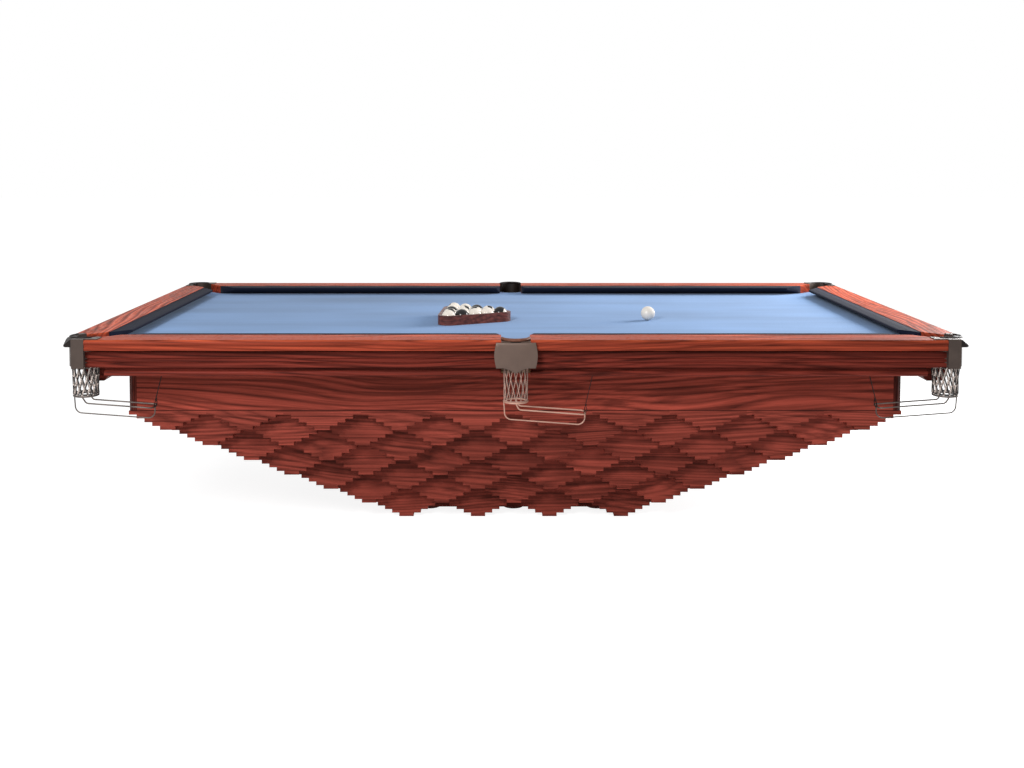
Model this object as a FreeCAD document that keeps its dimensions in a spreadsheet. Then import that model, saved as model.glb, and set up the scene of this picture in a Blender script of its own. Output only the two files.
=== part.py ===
"""Pool table with six netted pockets, wire ball runners and a stepped scale pedestal.

Frame: millimetres, origin on the floor under the middle of the table, +X along the
table, -Y towards the player at the front, +Z up.
"""
import FreeCAD, Part
import math
import os

import Sketcher

Vector = FreeCAD.Vector

# Driving dimensions, mm. Counts and degrees are named as such.
SIZES = {
    # bed
    "play_length": 2824, "play_width": 1412, "cushion_depth": 62, "cushion_rise": 34,
    "cushion_nose": 9, "cushion_drop": 3, "slate_thickness": 28, "cloth_thickness": 2,
    "slate_margin": 60, "fit_gap": 0.3,
    # wooden rails
    "rail_width": 99, "rail_height": 38, "rail_overhang": 28, "end_overhang": 14,
    "rail_round": 11,
    "rail_step": 3, "rail_step_height": 20,
    # aprons under the rails
    "apron_thickness": 30, "apron_height": 54, "apron_lip": 8, "apron_tongue": 16,
    "flute_depth": 3, "flute_width": 5, "flute_low": 17, "flute_high": 31,
    "recess_height": 13, "recess_depth": 16, "bead_height": 19, "bead_round": 8,
    "bead_short": 133,
    # bed frame, cabinet and pedestal
    "cabinet_inset": 166, "cabinet_height": 158, "panel_thickness": 30, "post_chamfer": 14,
    "floor_thickness": 20, "beam_width": 60, "beam_count": 5, "block_drop": 36, "block_gap": 3,
    "tier_height": 70, "tier_count": 7, "cells_long": 10, "cells_deep": 13, "tier_steps": 5,
    "base_board_thickness": 40, "base_pad_height": 20, "base_pad_radius": 40,
    "web_thickness": 30, "web_inset": 70, "base_gap": 6,
    # pockets
    "corner_inset": 52, "middle_inset": 20, "pocket_radius": 46, "casting_wall": 8,
    "liner_wall": 5, "flange_thickness": 3, "flange_length": 65, "flange_width": 32,
    "corner_mouth": 81, "middle_mouth": 14, "corner_casting_depth": 62, "corner_face_reach": 20,
    "corner_face_width": 44,
    "middle_casting_depth": 78, "middle_casting_drop": 5,
    "shield_thickness": 8, "shield_half_width": 69, "shield_bulge": 76, "shield_rise": 30,
    "shoulder_depth": 59, "shield_shoulder_width": 27, "shield_throat": 12,
    "cheek_thickness": 6,
    # nets, ball runners and their straps
    "corner_net_radius": 50, "middle_net_radius": 47, "net_wall": 3, "corner_net_length": 103,
    "middle_net_length": 122,
    "ring_radius": 42, "ring_rod_radius": 3, "rod_radius": 2.5, "floor_rod_radius": 2.2,
    "runner_reach": 243, "runner_half_width": 34, "runner_start": 38, "runner_drop": 64, "runner_fall": 21,
    "side_rod_knee": 11, "side_rod_drop": 24, "side_rod_fall": 17, "floor_bend_radius": 25,
    "side_bend_radius": 14, "strap_width": 8, "strap_thickness": 3, "strap_lean": 30,
    # balls and rack
    "ball_radius": 28.6, "ball_gap": 0.3, "rack_rows": 5, "rack_wall": 14, "rack_height": 38,
    "rack_clearance": 0.8, "rack_x": -186, "rack_y": -144, "rack_turn": 56.7,
    "cue_ball_x": 552, "cue_ball_y": -146,
}

# Places worked out from the driving dimensions.
PLACES = {
    "half_play_length": "play_length / 2",
    "half_play_width": "play_width / 2",
    "wood_x": "half_play_length + cushion_depth",
    "wood_y": "half_play_width + cushion_depth",
    "face_x": "wood_x + rail_width",
    "face_y": "wood_y + rail_width",
    "nose_y": "face_y + rail_overhang",
    "nose_x": "face_x + end_overhang",
    "apron_back_x": "face_x - apron_thickness",
    "apron_back_y": "face_y - apron_thickness",
    "slate_x": "wood_x + slate_margin",
    "slate_y": "wood_y + slate_margin",
    "cabinet_x": "face_x - cabinet_inset",
    "cabinet_y": "face_y - cabinet_inset",
    "panel_x": "cabinet_x - panel_thickness",
    "panel_y": "cabinet_y - panel_thickness",
    "cell_long": "2 * cabinet_x / cells_long",
    "cell_deep": "2 * cabinet_y / cells_deep",
    "setback": "cell_deep / 2",
    "step_height": "tier_height / tier_steps",
    "pedestal_top": "tier_height * tier_count",
    "frame_foot": "pedestal_top + cabinet_height",
    "recess_foot": "frame_foot + bead_height",
    "apron_foot": "recess_foot + recess_height",
    "apron_top": "apron_foot + apron_height",
    "cloth_top": "apron_top + apron_lip",
    "slate_top": "cloth_top - cloth_thickness",
    "slate_foot": "slate_top - slate_thickness",
    "rail_top": "cloth_top + rail_height",
    "corner_x": "face_x - corner_inset",
    "corner_y": "face_y - corner_inset",
    "corner_wall_radius": "pocket_radius + casting_wall",
    "corner_face_x": "corner_x - corner_face_reach",
    "middle_y": "face_y - middle_inset",
    "middle_wall_radius": "pocket_radius + liner_wall",
    "middle_end": "middle_wall_radius + fit_gap",
    "pocket_line": "middle_y - middle_end",
    "throat_offset": "pocket_radius * sqrt(2)",
    "bead_end_x": "face_x - bead_short",
    "corner_casting_foot": "cloth_top - corner_casting_depth",
    "middle_casting_foot": "cloth_top - middle_casting_depth",
    "shield_head": "cloth_top + shield_rise",
    "shield_shoulder": "cloth_top - shoulder_depth",
    "corner_net_foot": "corner_casting_foot - fit_gap - corner_net_length",
    "middle_net_foot": "shield_shoulder - fit_gap - middle_net_length",
    "inner_y": "cabinet_y - setback * tier_count",
    "inner_x": "cell_long * (cells_long - tier_count) / 2",
    "ball_height": "cloth_top + ball_gap + ball_radius",
    "ball_pitch": "2 * ball_radius + ball_gap",
}

DOC = FreeCAD.newDocument("pool_table")
NODES = []


def words(text):
    """Split a formula into names and the signs between them."""
    parts, current = [], ""
    for letter in text:
        if letter.isalnum() or letter in "_.":
            current += letter
        else:
            parts += [current, letter]
            current = ""
    return parts + [current]


def formula(text):
    """Write a formula's names as cells of the two sheets."""
    found = []
    for word in words(str(text)):
        if word in SIZES:
            word = "Sizes." + word
        elif word in PLACES:
            word = "Places." + word
        found.append(word)
    return "".join(found)


def fill_sheets():
    """Put the driving dimensions and the places in their sheets."""
    sizes = DOC.addObject("Spreadsheet::Sheet", "Sizes")
    for row, (name, number) in enumerate(SIZES.items(), 1):
        sizes.set("A%d" % row, name)
        sizes.set("B%d" % row, str(number))
        sizes.setAlias("B%d" % row, name)
    DOC.recompute()
    places = DOC.addObject("Spreadsheet::Sheet", "Places")
    for row, (name, text) in enumerate(PLACES.items(), 1):
        places.set("A%d" % row, name)
        places.setAlias("B%d" % row, name)
        places.set("B%d" % row, "=" + formula(text))
    DOC.recompute()
    return sizes, places


SIZE_SHEET, PLACE_SHEET = fill_sheets()


def size(name):
    """Give the number that a cell holds."""
    sheet = SIZE_SHEET if name in SIZES else PLACE_SHEET
    return float(sheet.get(name))


def bind(thing, **formulas):
    """Bind an object's properties to the sheets."""
    for name, text in formulas.items():
        thing.setExpression(name, formula(text))
    return thing


def at(thing, x=0, y=0, z=0):
    """Bind where an object stands."""
    for axis, text in zip("xyz", (x, y, z)):
        thing.setExpression("Placement.Base." + axis, formula(text))
    return thing


def origin(body, role):
    """Find a plane or an axis of the body's own origin."""
    return next(item for item in body.Origin.OriginFeatures if item.Role == role)


def outline(body, role, points, offset=0):
    """Draw a closed outline on an origin plane, each corner bound to the sheets."""
    sketch = body.newObject("Sketcher::SketchObject", body.Name + "_outline")
    sketch.AttachmentSupport = [(origin(body, role), "")]
    sketch.MapMode = "FlatFace"
    sketch.setExpression("AttachmentOffset.Base.z", formula(offset))
    count = len(points)
    ring = [Vector(math.cos(2 * math.pi * i / count), math.sin(2 * math.pi * i / count), 0)
            for i in range(count)]
    for i in range(count):
        sketch.addGeometry(Part.LineSegment(ring[i], ring[(i + 1) % count]), False)
    for i in range(count):
        sketch.addConstraint(Sketcher.Constraint("Coincident", i, 2, (i + 1) % count, 1))
    for i, corner in enumerate(points):
        for kind, text in zip(("DistanceX", "DistanceY"), corner):
            index = sketch.addConstraint(Sketcher.Constraint(kind, -1, 1, i, 1, 1.0))
            sketch.setExpression("Constraints[%d]" % index, formula(text))
    return sketch


def prism(name, role, points, length, offset=0, middle=False):
    """Pad an outline into a body."""
    body = DOC.addObject("PartDesign::Body", name)
    pad = body.newObject("PartDesign::Pad", name + "_pad")
    pad.Profile = outline(body, role, points, offset)
    pad.Midplane = middle
    bind(pad, Length=length)
    DOC.recompute()
    return body


def long_edges(shape, axis, first, second, near=0.01):
    """Name the edges along an axis that pass through a place in the other two."""
    others = [item for item in range(3) if item != axis]
    names = []
    for index, edge in enumerate(shape.Edges, 1):
        spots = [vertex.Point for vertex in edge.Vertexes]
        if len(spots) == 2 and all(abs(spot[others[0]] - first) < near and
                                   abs(spot[others[1]] - second) < near for spot in spots):
            names.append("Edge%d" % index)
    return names


def fillet(body, axis, places, radius):
    """Round a prism's long edges, found by where they run."""
    base = body.Tip
    names = [name for place in places for name in long_edges(base.Shape, axis, *place)]
    round_off = body.newObject("PartDesign::Fillet", body.Name + "_round%d" % len(body.Group))
    round_off.Base = (base, names)
    bind(round_off, Radius=radius)
    DOC.recompute()


def box(name, low, extent):
    """A Part box with its low corner and its three sides bound."""
    thing = DOC.addObject("Part::Box", name)
    bind(thing, Length=extent[0], Width=extent[1], Height=extent[2])
    return at(thing, *low)


def cylinder(name, centre, foot, radius, height):
    thing = bind(DOC.addObject("Part::Cylinder", name), Radius=radius, Height=height)
    return at(thing, centre[0], centre[1], foot)


def join(kind, name, pieces):
    """Cut, common or fuse objects; the first one is the base."""
    if kind == "Cut" and len(pieces) > 2:
        pieces = [pieces[0], join("MultiFuse", name + "_tools", pieces[1:])]
    thing = DOC.addObject("Part::" + kind, name)
    if kind in ("Cut", "Common"):
        thing.Base, thing.Tool = pieces
    elif kind == "Compound":
        thing.Links = pieces
    else:
        thing.Shapes = pieces
        thing.Refine = True
    return thing


def mirror(name, thing, axis):
    """The same piece on the other side of the table."""
    copy = DOC.addObject("Part::Mirroring", name)
    copy.Source = thing
    copy.Normal = Vector(1, 0, 0) if axis == "x" else Vector(0, 1, 0)
    return copy


def node(label, thing):
    """Give a finished piece its name."""
    thing.Label = label
    NODES.append(thing)
    return thing


def both_sides(stem, thing, axis):
    """A front piece and its back twin, or a right piece and its left twin."""
    names = {"y": ("front", "back"), "x": ("right", "left")}[axis]
    node(stem % names[0], thing)
    node(stem % names[1], mirror(stem % names[1] + "_mirror", thing, axis))


def four_quarters(stem, thing):
    """A front right piece and its three twins."""
    left = mirror(stem + "_front_left_mirror", thing, "x")
    node(stem + "_front_right", thing)
    node(stem + "_front_left", left)
    node(stem + "_back_right", mirror(stem + "_back_right_mirror", thing, "y"))
    node(stem + "_back_left", mirror(stem + "_back_left_mirror", left, "y"))


# ---------------------------------------------------------------- pedestal

def stepped_tooth(body, name, centre, low, depth, top, axis, half=None):
    """One tooth that hangs in steps, each step narrower than the one above.

    Along axis x the tooth spans its cell both ways; along y it also draws back in x,
    step by step, by a tenth of a long cell.
    """
    steps = []
    for step in range(int(size("tier_steps"))):
        share = "(1 - %d / tier_steps)" % step
        layer = body.newObject("PartDesign::AdditiveBox", "%s_step%d" % (name, step))
        if axis == "x":
            bind(layer, Length="cell_long * " + share, Width=depth)
            x, y = "%s - cell_long / 2 * %s" % (centre, share), low
        else:
            start = "0" if half == "upper" else "setback * " + share
            reach = "setback * %s * %d" % (share, 1 if half else 2)
            bind(layer, Length="cell_long / 2 * " + share, Width=reach)
            x, y = low, "%s - %s" % (centre, start)
        bind(layer, Height="step_height")
        at(layer, x, y, "%s - step_height * %d" % (top, step + 1))
        steps.append(layer)
    return steps


def pattern(body, name, features, role, pitch, count):
    """Repeat features along an axis of the body."""
    if count < 2:
        return
    row = body.newObject("PartDesign::LinearPattern", name)
    row.Originals = features
    row.Direction = (origin(body, role), [""])
    bind(row, Length="%s * %d" % (pitch, count - 1))
    row.Occurrences = count
    body.Tip = row


def front_plank(tier):
    """The tier's plank across the front: a flat upper part and a row of stepped teeth."""
    teeth = int(size("cells_long")) - tier
    name = "front_plank_%d" % (tier + 1)
    body = DOC.addObject("PartDesign::Body", name)
    outer = "0 - cabinet_y + setback * %d" % tier
    top = "pedestal_top - tier_height * %d" % tier
    if tier:
        flat = body.newObject("PartDesign::AdditiveBox", name + "_flat")
        bind(flat, Length="cell_long * %d" % teeth, Width="setback", Height="tier_height")
        at(flat, "0 - cell_long * %d / 2" % teeth, outer, top)
    steps = stepped_tooth(body, name, "0 - cell_long * %d / 2" % (teeth - 1), outer,
                          "setback", top, "x")
    pattern(body, name + "_row", steps, "X_Axis", "cell_long", teeth)
    return body


def end_block(tier):
    """The tier's block at the right end, toothed along the table's width."""
    teeth = int(size("cells_long")) - tier
    cells = int(size("cells_deep")) - 1 - tier
    name = "end_block_%d" % (tier + 1)
    body = DOC.addObject("PartDesign::Body", name)
    low = "cell_long * %d / 2" % (teeth - 1)
    top = "pedestal_top - tier_height * %d" % tier
    edge = "setback * %d" % cells
    if tier:
        flat = body.newObject("PartDesign::AdditiveBox", name + "_flat")
        bind(flat, Length="cell_long / 2", Width="2 * " + edge, Height="tier_height")
        at(flat, low, "0 - " + edge, top)
    stepped_tooth(body, name + "_first", "0 - " + edge, low, None, top, "y", "upper")
    stepped_tooth(body, name + "_last", edge, low, None, top, "y", "lower")
    steps = stepped_tooth(body, name, "0 - %s + cell_deep" % edge, low, None, top, "y")
    pattern(body, name + "_row", steps, "Y_Axis", "cell_deep", cells - 1)
    return body


def build_pedestal():
    tiers = range(int(size("tier_count")))
    planks = join("Compound", "front_planks", [front_plank(tier) for tier in tiers])
    blocks = join("Compound", "end_blocks", [end_block(tier) for tier in tiers])
    both_sides("pedestal_%s_planks", planks, "y")
    both_sides("pedestal_%s_blocks", blocks, "x")


def build_base():
    """The board, webs and pads that carry the weight inside the pedestal."""
    x, y = "(inner_x - base_gap)", "(inner_y - base_gap)"
    node("base_board", box("base_board_box", ("0 - " + x, "0 - " + y, "base_pad_height"),
                           ("2 * " + x, "2 * " + y, "base_board_thickness")))
    foot = "base_pad_height + base_board_thickness"
    height = "pedestal_top - base_pad_height - base_board_thickness"
    long_web = box("long_web", ("0 - %s" % x, "0 - %s + web_inset" % y, foot),
                   ("2 * " + x, "web_thickness", height))
    webs = [long_web, mirror("long_web_back", long_web, "y")]
    for place in (-1, 0, 1):
        webs.append(box("cross_web_%d" % (place + 2),
                        ("%d * (%s - web_thickness / 2) - web_thickness / 2" % (place, x),
                         "0 - %s + web_inset + web_thickness" % y, foot),
                        ("web_thickness", "2 * (%s - web_inset - web_thickness)" % y, height)))
    node("pedestal_webs", join("Compound", "pedestal_web_group", webs))
    pads = []
    for across in (-1, 1):
        for along in (-1, 0, 1):
            pads.append(cylinder("base_pad_%d" % (len(pads) + 1),
                                 ("%d * (%s - 2 * base_pad_radius)" % (along, x),
                                  "%d * (%s - 2 * base_pad_radius)" % (across, y)),
                                 0, "base_pad_radius", "base_pad_height"))
    node("base_pads", join("Compound", "base_pad_group", pads))


# ---------------------------------------------------------------- cabinet and bed frame

def build_cabinet():
    node("cabinet_floor", box("cabinet_floor_box", ("0 - panel_x", "0 - panel_y", "pedestal_top"),
                              ("2 * panel_x", "2 * panel_y", "floor_thickness")))
    both_sides("cabinet_%s_panel",
               box("long_panel", ("0 - panel_x", "0 - cabinet_y", "pedestal_top"),
                   ("2 * panel_x", "panel_thickness", "cabinet_height")), "y")
    both_sides("cabinet_%s_panel",
               box("end_panel", ("panel_x", "0 - panel_y", "pedestal_top"),
                   ("panel_thickness", "2 * panel_y", "cabinet_height")), "x")
    corner = [("panel_x", "0 - cabinet_y"), ("cabinet_x - post_chamfer", "0 - cabinet_y"),
              ("cabinet_x", "0 - cabinet_y + post_chamfer"), ("cabinet_x", "0 - panel_y"),
              ("panel_x", "0 - panel_y")]
    post = prism("corner_post", "XY_Plane", corner, "cabinet_height", "pedestal_top")
    left = mirror("corner_post_left", post, "x")
    posts = [post, left, mirror("corner_post_back", post, "y"),
             mirror("corner_post_back_left", left, "y")]
    node("cabinet_corner_posts", join("Compound", "corner_post_group", posts))


def build_bed_frame():
    """Boards that carry the slates and reach out over the cabinet to the aprons."""
    height = "slate_foot - frame_foot"
    board = box("front_board", ("middle_end", "0 - apron_back_y", "frame_foot"),
                ("bead_end_x - middle_end", "apron_back_y - panel_y", height))
    bridge = box("pocket_bridge", ("0 - middle_end", "0 - pocket_line", "frame_foot"),
                 ("2 * middle_end", "pocket_line - panel_y", height))
    front = join("Compound", "front_boards", [board, mirror("front_board_left", board, "x"),
                                              bridge])
    end = box("end_board", ("panel_x", "0 - panel_y", "frame_foot"),
              ("apron_back_x - panel_x", "2 * panel_y", height))
    node("bed_frame", join("Compound", "bed_frame_group",
                           [front, mirror("back_board", front, "y"),
                            end, mirror("left_board", end, "x")]))
    beams = []
    count = int(size("beam_count"))
    for index in range(count):
        place = "panel_x * %d / %d" % (2 * index - count + 1, count + 1)
        beams.append(box("beam_%d" % (index + 1),
                         ("%s - beam_width / 2" % place, "0 - panel_y",
                          "pedestal_top + floor_thickness"),
                         ("beam_width", "2 * panel_y",
                          "slate_foot - pedestal_top - floor_thickness")))
    node("cross_beams", join("Compound", "beam_group", beams))


def build_corner_blocks():
    """Blocks under the slate's corners, behind the nets, with a sloped foot."""
    points = [("bead_end_x", "slate_foot"), ("bead_end_x", "frame_foot"),
              ("bead_end_x + block_drop", "frame_foot - block_drop"),
              ("apron_back_x", "frame_foot - block_drop"), ("apron_back_x", "slate_foot")]
    block = prism("corner_block", "XZ_Plane", points,
                  "corner_y - corner_wall_radius - block_gap - panel_y", "panel_y")
    left = mirror("corner_block_left", block, "x")
    node("frame_corner_blocks", join("Compound", "corner_block_group", [
        block, left, mirror("corner_block_back", block, "y"),
        mirror("corner_block_back_left", left, "y")]))


# ---------------------------------------------------------------- bed

def pocket_holes(name, foot, height):
    """Six cylinders that clear the pocket castings."""
    holes = []
    for side in ("0 - ", ""):
        for end in ("0 - ", ""):
            holes.append(cylinder("%s_corner_%d" % (name, len(holes)),
                                  (end + "corner_x", side + "corner_y"), foot,
                                  "corner_wall_radius + fit_gap", height))
        holes.append(cylinder("%s_middle_%d" % (name, len(holes)), ("0", side + "middle_y"),
                              foot, "middle_end", height))
    return join("MultiFuse", name + "_holes", holes)


def build_bed():
    """Three slates under one cloth; the middle one is a slab with strips beside its pockets."""
    for label, low in (("slate_left", "0 - slate_x"), ("slate_right", "slate_x / 3")):
        slab = box(label + "_slab", (low, "0 - slate_y", "slate_foot"),
                   ("2 * slate_x / 3", "2 * slate_y", "slate_thickness"))
        holes = pocket_holes(label, "slate_foot", "slate_thickness")
        node(label, join("Cut", label + "_cut", [slab, holes]))
    slab = box("slate_middle_slab", ("0 - slate_x / 3", "0 - pocket_line", "slate_foot"),
               ("2 * slate_x / 3", "2 * pocket_line", "slate_thickness"))
    strip = box("slate_strip", ("middle_end", "0 - slate_y", "slate_foot"),
                ("slate_x / 3 - middle_end", "slate_y - pocket_line", "slate_thickness"))
    left = mirror("slate_strip_left", strip, "x")
    node("slate_middle", join("Compound", "slate_middle_group", [
        slab, strip, left, mirror("slate_strip_back", strip, "y"),
        mirror("slate_strip_back_left", left, "y")]))
    sheet = box("cloth_sheet", ("0 - slate_x", "0 - slate_y", "slate_top"),
                ("2 * slate_x", "2 * slate_y", "cloth_thickness"))
    node("bed_cloth", join("Cut", "cloth_cut",
                           [sheet, pocket_holes("cloth", "slate_top", "cloth_thickness")]))


def rail_profile(wood, nose):
    """Section of a wooden rail: flat top, round nose and a low step under it."""
    step = "cloth_top + rail_step_height"
    return [("0 - " + wood, "cloth_top"), ("0 - %s + rail_step" % nose, "cloth_top"),
            ("0 - %s + rail_step" % nose, step), ("0 - " + nose, step + " + rail_step"),
            ("0 - " + nose, "rail_top"), ("0 - " + wood, "rail_top")]


def corner_throat(name, foot, height):
    """The way into the front right corner pocket, cut on the diagonal."""
    offset = "(corner_x - corner_y)"
    near, far = "(0 - half_play_width)", "(0 - corner_y)"
    points = [("0 - %s + %s - throat_offset" % (near, offset), near),
              ("corner_x - throat_offset / 2", "%s - throat_offset / 2" % far),
              ("corner_x + throat_offset / 2", "%s + throat_offset / 2" % far),
              ("half_play_length", "%s + throat_offset" % near)]
    return prism(name, "XY_Plane", points, height, foot)


def build_long_rails():
    bar = prism("long_rail_bar", "YZ_Plane", rail_profile("wood_y", "nose_y"),
                "corner_face_x - fit_gap - middle_end", "middle_end")
    fillet(bar, 0, [(-size("nose_y"), size("rail_top"))], "rail_round")
    hole = cylinder("long_rail_hole", ("corner_x", "0 - corner_y"), "cloth_top",
                    "corner_wall_radius + fit_gap", "rail_height")
    throat = corner_throat("long_rail_throat", "cloth_top", "rail_height")
    four_quarters("rail", join("Cut", "long_rail", [bar, hole, throat]))


def build_end_rails():
    bar = prism("end_rail_bar", "XZ_Plane",
                [(x.replace("0 - ", ""), z) for x, z in
                 [("wood_x", "cloth_top"), ("nose_x - rail_step", "cloth_top"),
                  ("nose_x - rail_step", "cloth_top + rail_step_height"),
                  ("nose_x", "cloth_top + rail_step_height + rail_step"),
                  ("nose_x", "rail_top"), ("wood_x", "rail_top")]],
                "2 * corner_y", 0, True)
    fillet(bar, 1, [(size("nose_x"), size("rail_top"))], "rail_round")
    cuts = []
    hole = cylinder("end_rail_hole", ("corner_x", "0 - corner_y"), "cloth_top",
                    "corner_wall_radius + fit_gap", "rail_height")
    throat = corner_throat("end_rail_throat", "cloth_top", "rail_height")
    for thing in (hole, throat):
        cuts += [thing, mirror(thing.Name + "_back", thing, "y")]
    both_sides("rail_%s_end", join("Cut", "end_rail", [bar] + cuts), "x")


def cushion_profile(wood, nose):
    """Section of a cushion: a wedge whose nose hangs over the cloth."""
    high = "cloth_top + cushion_rise"
    return [("0 - %s" % wood, "cloth_top + fit_gap"),
            ("0 - %s" % nose, high + " - cushion_nose"),
            ("0 - %s" % nose, high),
            ("0 - %s" % wood, high + " + cushion_drop")]


def build_cushions():
    height = "rail_height"
    bar = prism("long_cushion_bar", "YZ_Plane",
                cushion_profile("wood_y", "half_play_width"), "corner_x", 0)
    end = "(wood_y + corner_x - corner_y - throat_offset)"
    plan = [("middle_end", "0 - wood_y"), (end, "0 - wood_y"),
            ("half_play_length - corner_mouth", "0 - half_play_width"),
            ("middle_end + middle_mouth", "0 - half_play_width")]
    four_quarters("cushion", join("Common", "long_cushion", [
        bar, prism("long_cushion_plan", "XY_Plane", plan, height, "cloth_top")]))
    bar = prism("end_cushion_bar", "XZ_Plane",
                [(x.replace("0 - ", ""), z) for x, z in
                 cushion_profile("wood_x", "half_play_length")], "2 * corner_y", 0, True)
    end = "(wood_x - corner_x + corner_y - throat_offset)"
    plan = [("wood_x", "0 - " + end), ("wood_x", end),
            ("half_play_length", "half_play_width - corner_mouth"),
            ("half_play_length", "0 - half_play_width + corner_mouth")]
    both_sides("cushion_%s_end", join("Common", "end_cushion", [
        bar, prism("end_cushion_plan", "XY_Plane", plan, height, "cloth_top")]), "x")


# ---------------------------------------------------------------- aprons

def apron_profile(back, face):
    """Section of an apron: bead, recess, fluted face and the tongue under the rail."""
    points = [(back, "frame_foot"), (face, "frame_foot"), (face, "recess_foot"),
              ("%s - recess_depth" % face, "recess_foot"),
              ("%s - recess_depth" % face, "apron_foot"), (face, "apron_foot")]
    for flute in ("flute_low", "flute_high"):
        middle = "apron_foot + " + flute
        points += [(face, middle + " - flute_width / 2"),
                   ("%s - flute_depth" % face, middle),
                   (face, middle + " + flute_width / 2")]
    return points + [(face, "apron_top"), ("%s + apron_thickness - apron_tongue" % back, "apron_top"),
                     ("%s + apron_thickness - apron_tongue" % back, "cloth_top"),
                     (back, "cloth_top")]


def apron(name, role, profile, length, offset, middle, cuts):
    """An apron bar with its bead rounded and its corners cut clear of the pockets."""
    bar = prism(name + "_bar", role, profile, length, offset, middle)
    axis = 0 if role == "YZ_Plane" else 1
    face = -size("face_y") if axis == 0 else size("face_x")
    fillet(bar, axis, [(face, size("frame_foot")), (face, size("recess_foot"))], "bead_round")
    return join("Cut", name, [bar] + cuts)


def build_aprons():
    tall = "cloth_top - frame_foot"
    hole = cylinder("long_apron_hole", ("corner_x", "0 - corner_y"), "frame_foot",
                    "corner_wall_radius + fit_gap", tall)
    notch = box("long_apron_notch", ("bead_end_x", "0 - face_y", "frame_foot"),
                ("bead_short", "apron_thickness", "apron_foot - frame_foot"))
    profile = [("0 - (%s)" % y, z) for y, z in apron_profile("apron_back_y", "face_y")]
    four_quarters("apron", apron("long_apron", "YZ_Plane", profile,
                                 "corner_x - middle_end", "middle_end", False, [hole, notch]))
    hole = cylinder("end_apron_hole", ("corner_x", "0 - corner_y"), "frame_foot",
                    "corner_wall_radius + fit_gap", tall)
    notch = box("end_apron_notch", ("apron_back_x", "0 - face_y", "frame_foot"),
                ("apron_thickness", "bead_short", "apron_foot - frame_foot"))
    cuts = [hole, mirror("end_apron_hole_back", hole, "y"),
            notch, mirror("end_apron_notch_back", notch, "y")]
    both_sides("apron_%s_end", apron("end_apron", "XZ_Plane",
                                     apron_profile("apron_back_x", "face_x"),
                                     "2 * corner_y", 0, True, cuts), "x")


# ---------------------------------------------------------------- pocket castings

def build_corner_castings():
    """A round pocket wall behind two flat faces, with flat arms over the rails."""
    x, y = "corner_x", "0 - corner_y"
    top = "(rail_top + flange_thickness)"
    wall = cylinder("corner_wall", (x, y), "corner_casting_foot", "corner_wall_radius",
                    top + " - corner_casting_foot")
    front = box("corner_front_face", ("corner_face_x", "0 - nose_y", "corner_casting_foot"),
                ("corner_face_width", "casting_wall", top + " - corner_casting_foot"))
    side = box("corner_side_face", ("corner_face_x + corner_face_width - casting_wall",
                                    "0 - nose_y", "corner_casting_foot"),
               ("casting_wall", "nose_y - corner_y", top + " - corner_casting_foot"))
    cap = box("corner_cap", ("corner_face_x", "0 - nose_y", "rail_top"),
              ("corner_face_width", "nose_y - corner_y", "flange_thickness"))
    long_arm = box("corner_long_arm",
                   ("corner_x - flange_length", "0 - nose_y + rail_round", "rail_top"),
                   ("flange_length", "flange_width + rail_overhang - rail_round",
                    "flange_thickness"))
    end_arm = box("corner_end_arm", ("face_x - flange_width", "0 - corner_y", "rail_top"),
                  ("flange_width", "flange_length", "flange_thickness"))
    bore = cylinder("corner_bore", (x, y), "corner_casting_foot", "pocket_radius",
                    top + " - corner_casting_foot")
    throat = corner_throat("corner_casting_throat", "cloth_top",
                           "rail_height + flange_thickness")
    body = join("MultiFuse", "corner_casting_body", [wall, front, side, cap, long_arm, end_arm])
    four_quarters("pocket_casting", join("Cut", "corner_casting", [body, bore, throat]))


def build_middle_castings():
    """A shield plate in front of a round liner that the ball drops through."""
    head = "(rail_top - middle_casting_drop)"
    half = "shield_half_width"
    right = [("shield_throat", "(middle_casting_foot + shield_shoulder) / 2"),
             (half + " - shield_shoulder_width", "shield_shoulder"),
             (half, "shield_shoulder"),
             ("shield_bulge", "(shield_shoulder + shield_head) / 2"),
             (half, "shield_head")]
    left = [("0 - (%s)" % x, z) for x, z in reversed(right)]
    plate = prism("shield_plate", "XZ_Plane", [("0", "middle_casting_foot")] + right + left,
                  "shield_thickness", "nose_y")
    tube = cylinder("middle_liner", ("0", "0 - middle_y"), "shield_shoulder",
                    "middle_wall_radius", "cloth_top - shield_shoulder")
    block = box("middle_block", ("0 - middle_wall_radius", "0 - nose_y", "cloth_top"),
                ("2 * middle_wall_radius", "nose_y - middle_y", head + " - cloth_top"))
    cheek = box("middle_cheek", (half + " - cheek_thickness", "0 - nose_y", "shield_shoulder"),
                ("cheek_thickness", "rail_overhang", "cloth_top - fit_gap - shield_shoulder"))
    body = join("MultiFuse", "middle_casting_body",
                [plate, tube, block, cheek, mirror("middle_cheek_left", cheek, "x")])
    bore = cylinder("middle_bore", ("0", "0 - middle_y"), "shield_shoulder",
                    "pocket_radius", head + " - shield_shoulder")
    both_sides("pocket_casting_%s_middle", join("Cut", "middle_casting", [body, bore]), "y")


# ---------------------------------------------------------------- nets and ball runners

def net(name, centre, foot, radius, drop):
    """A net as a plain tube, open at both ends."""
    outer = cylinder(name + "_outer", centre, foot, radius, drop)
    inner = cylinder(name + "_inner", centre, foot, radius + " - net_wall", drop)
    return join("Cut", name + "_tube", [outer, inner])


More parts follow.
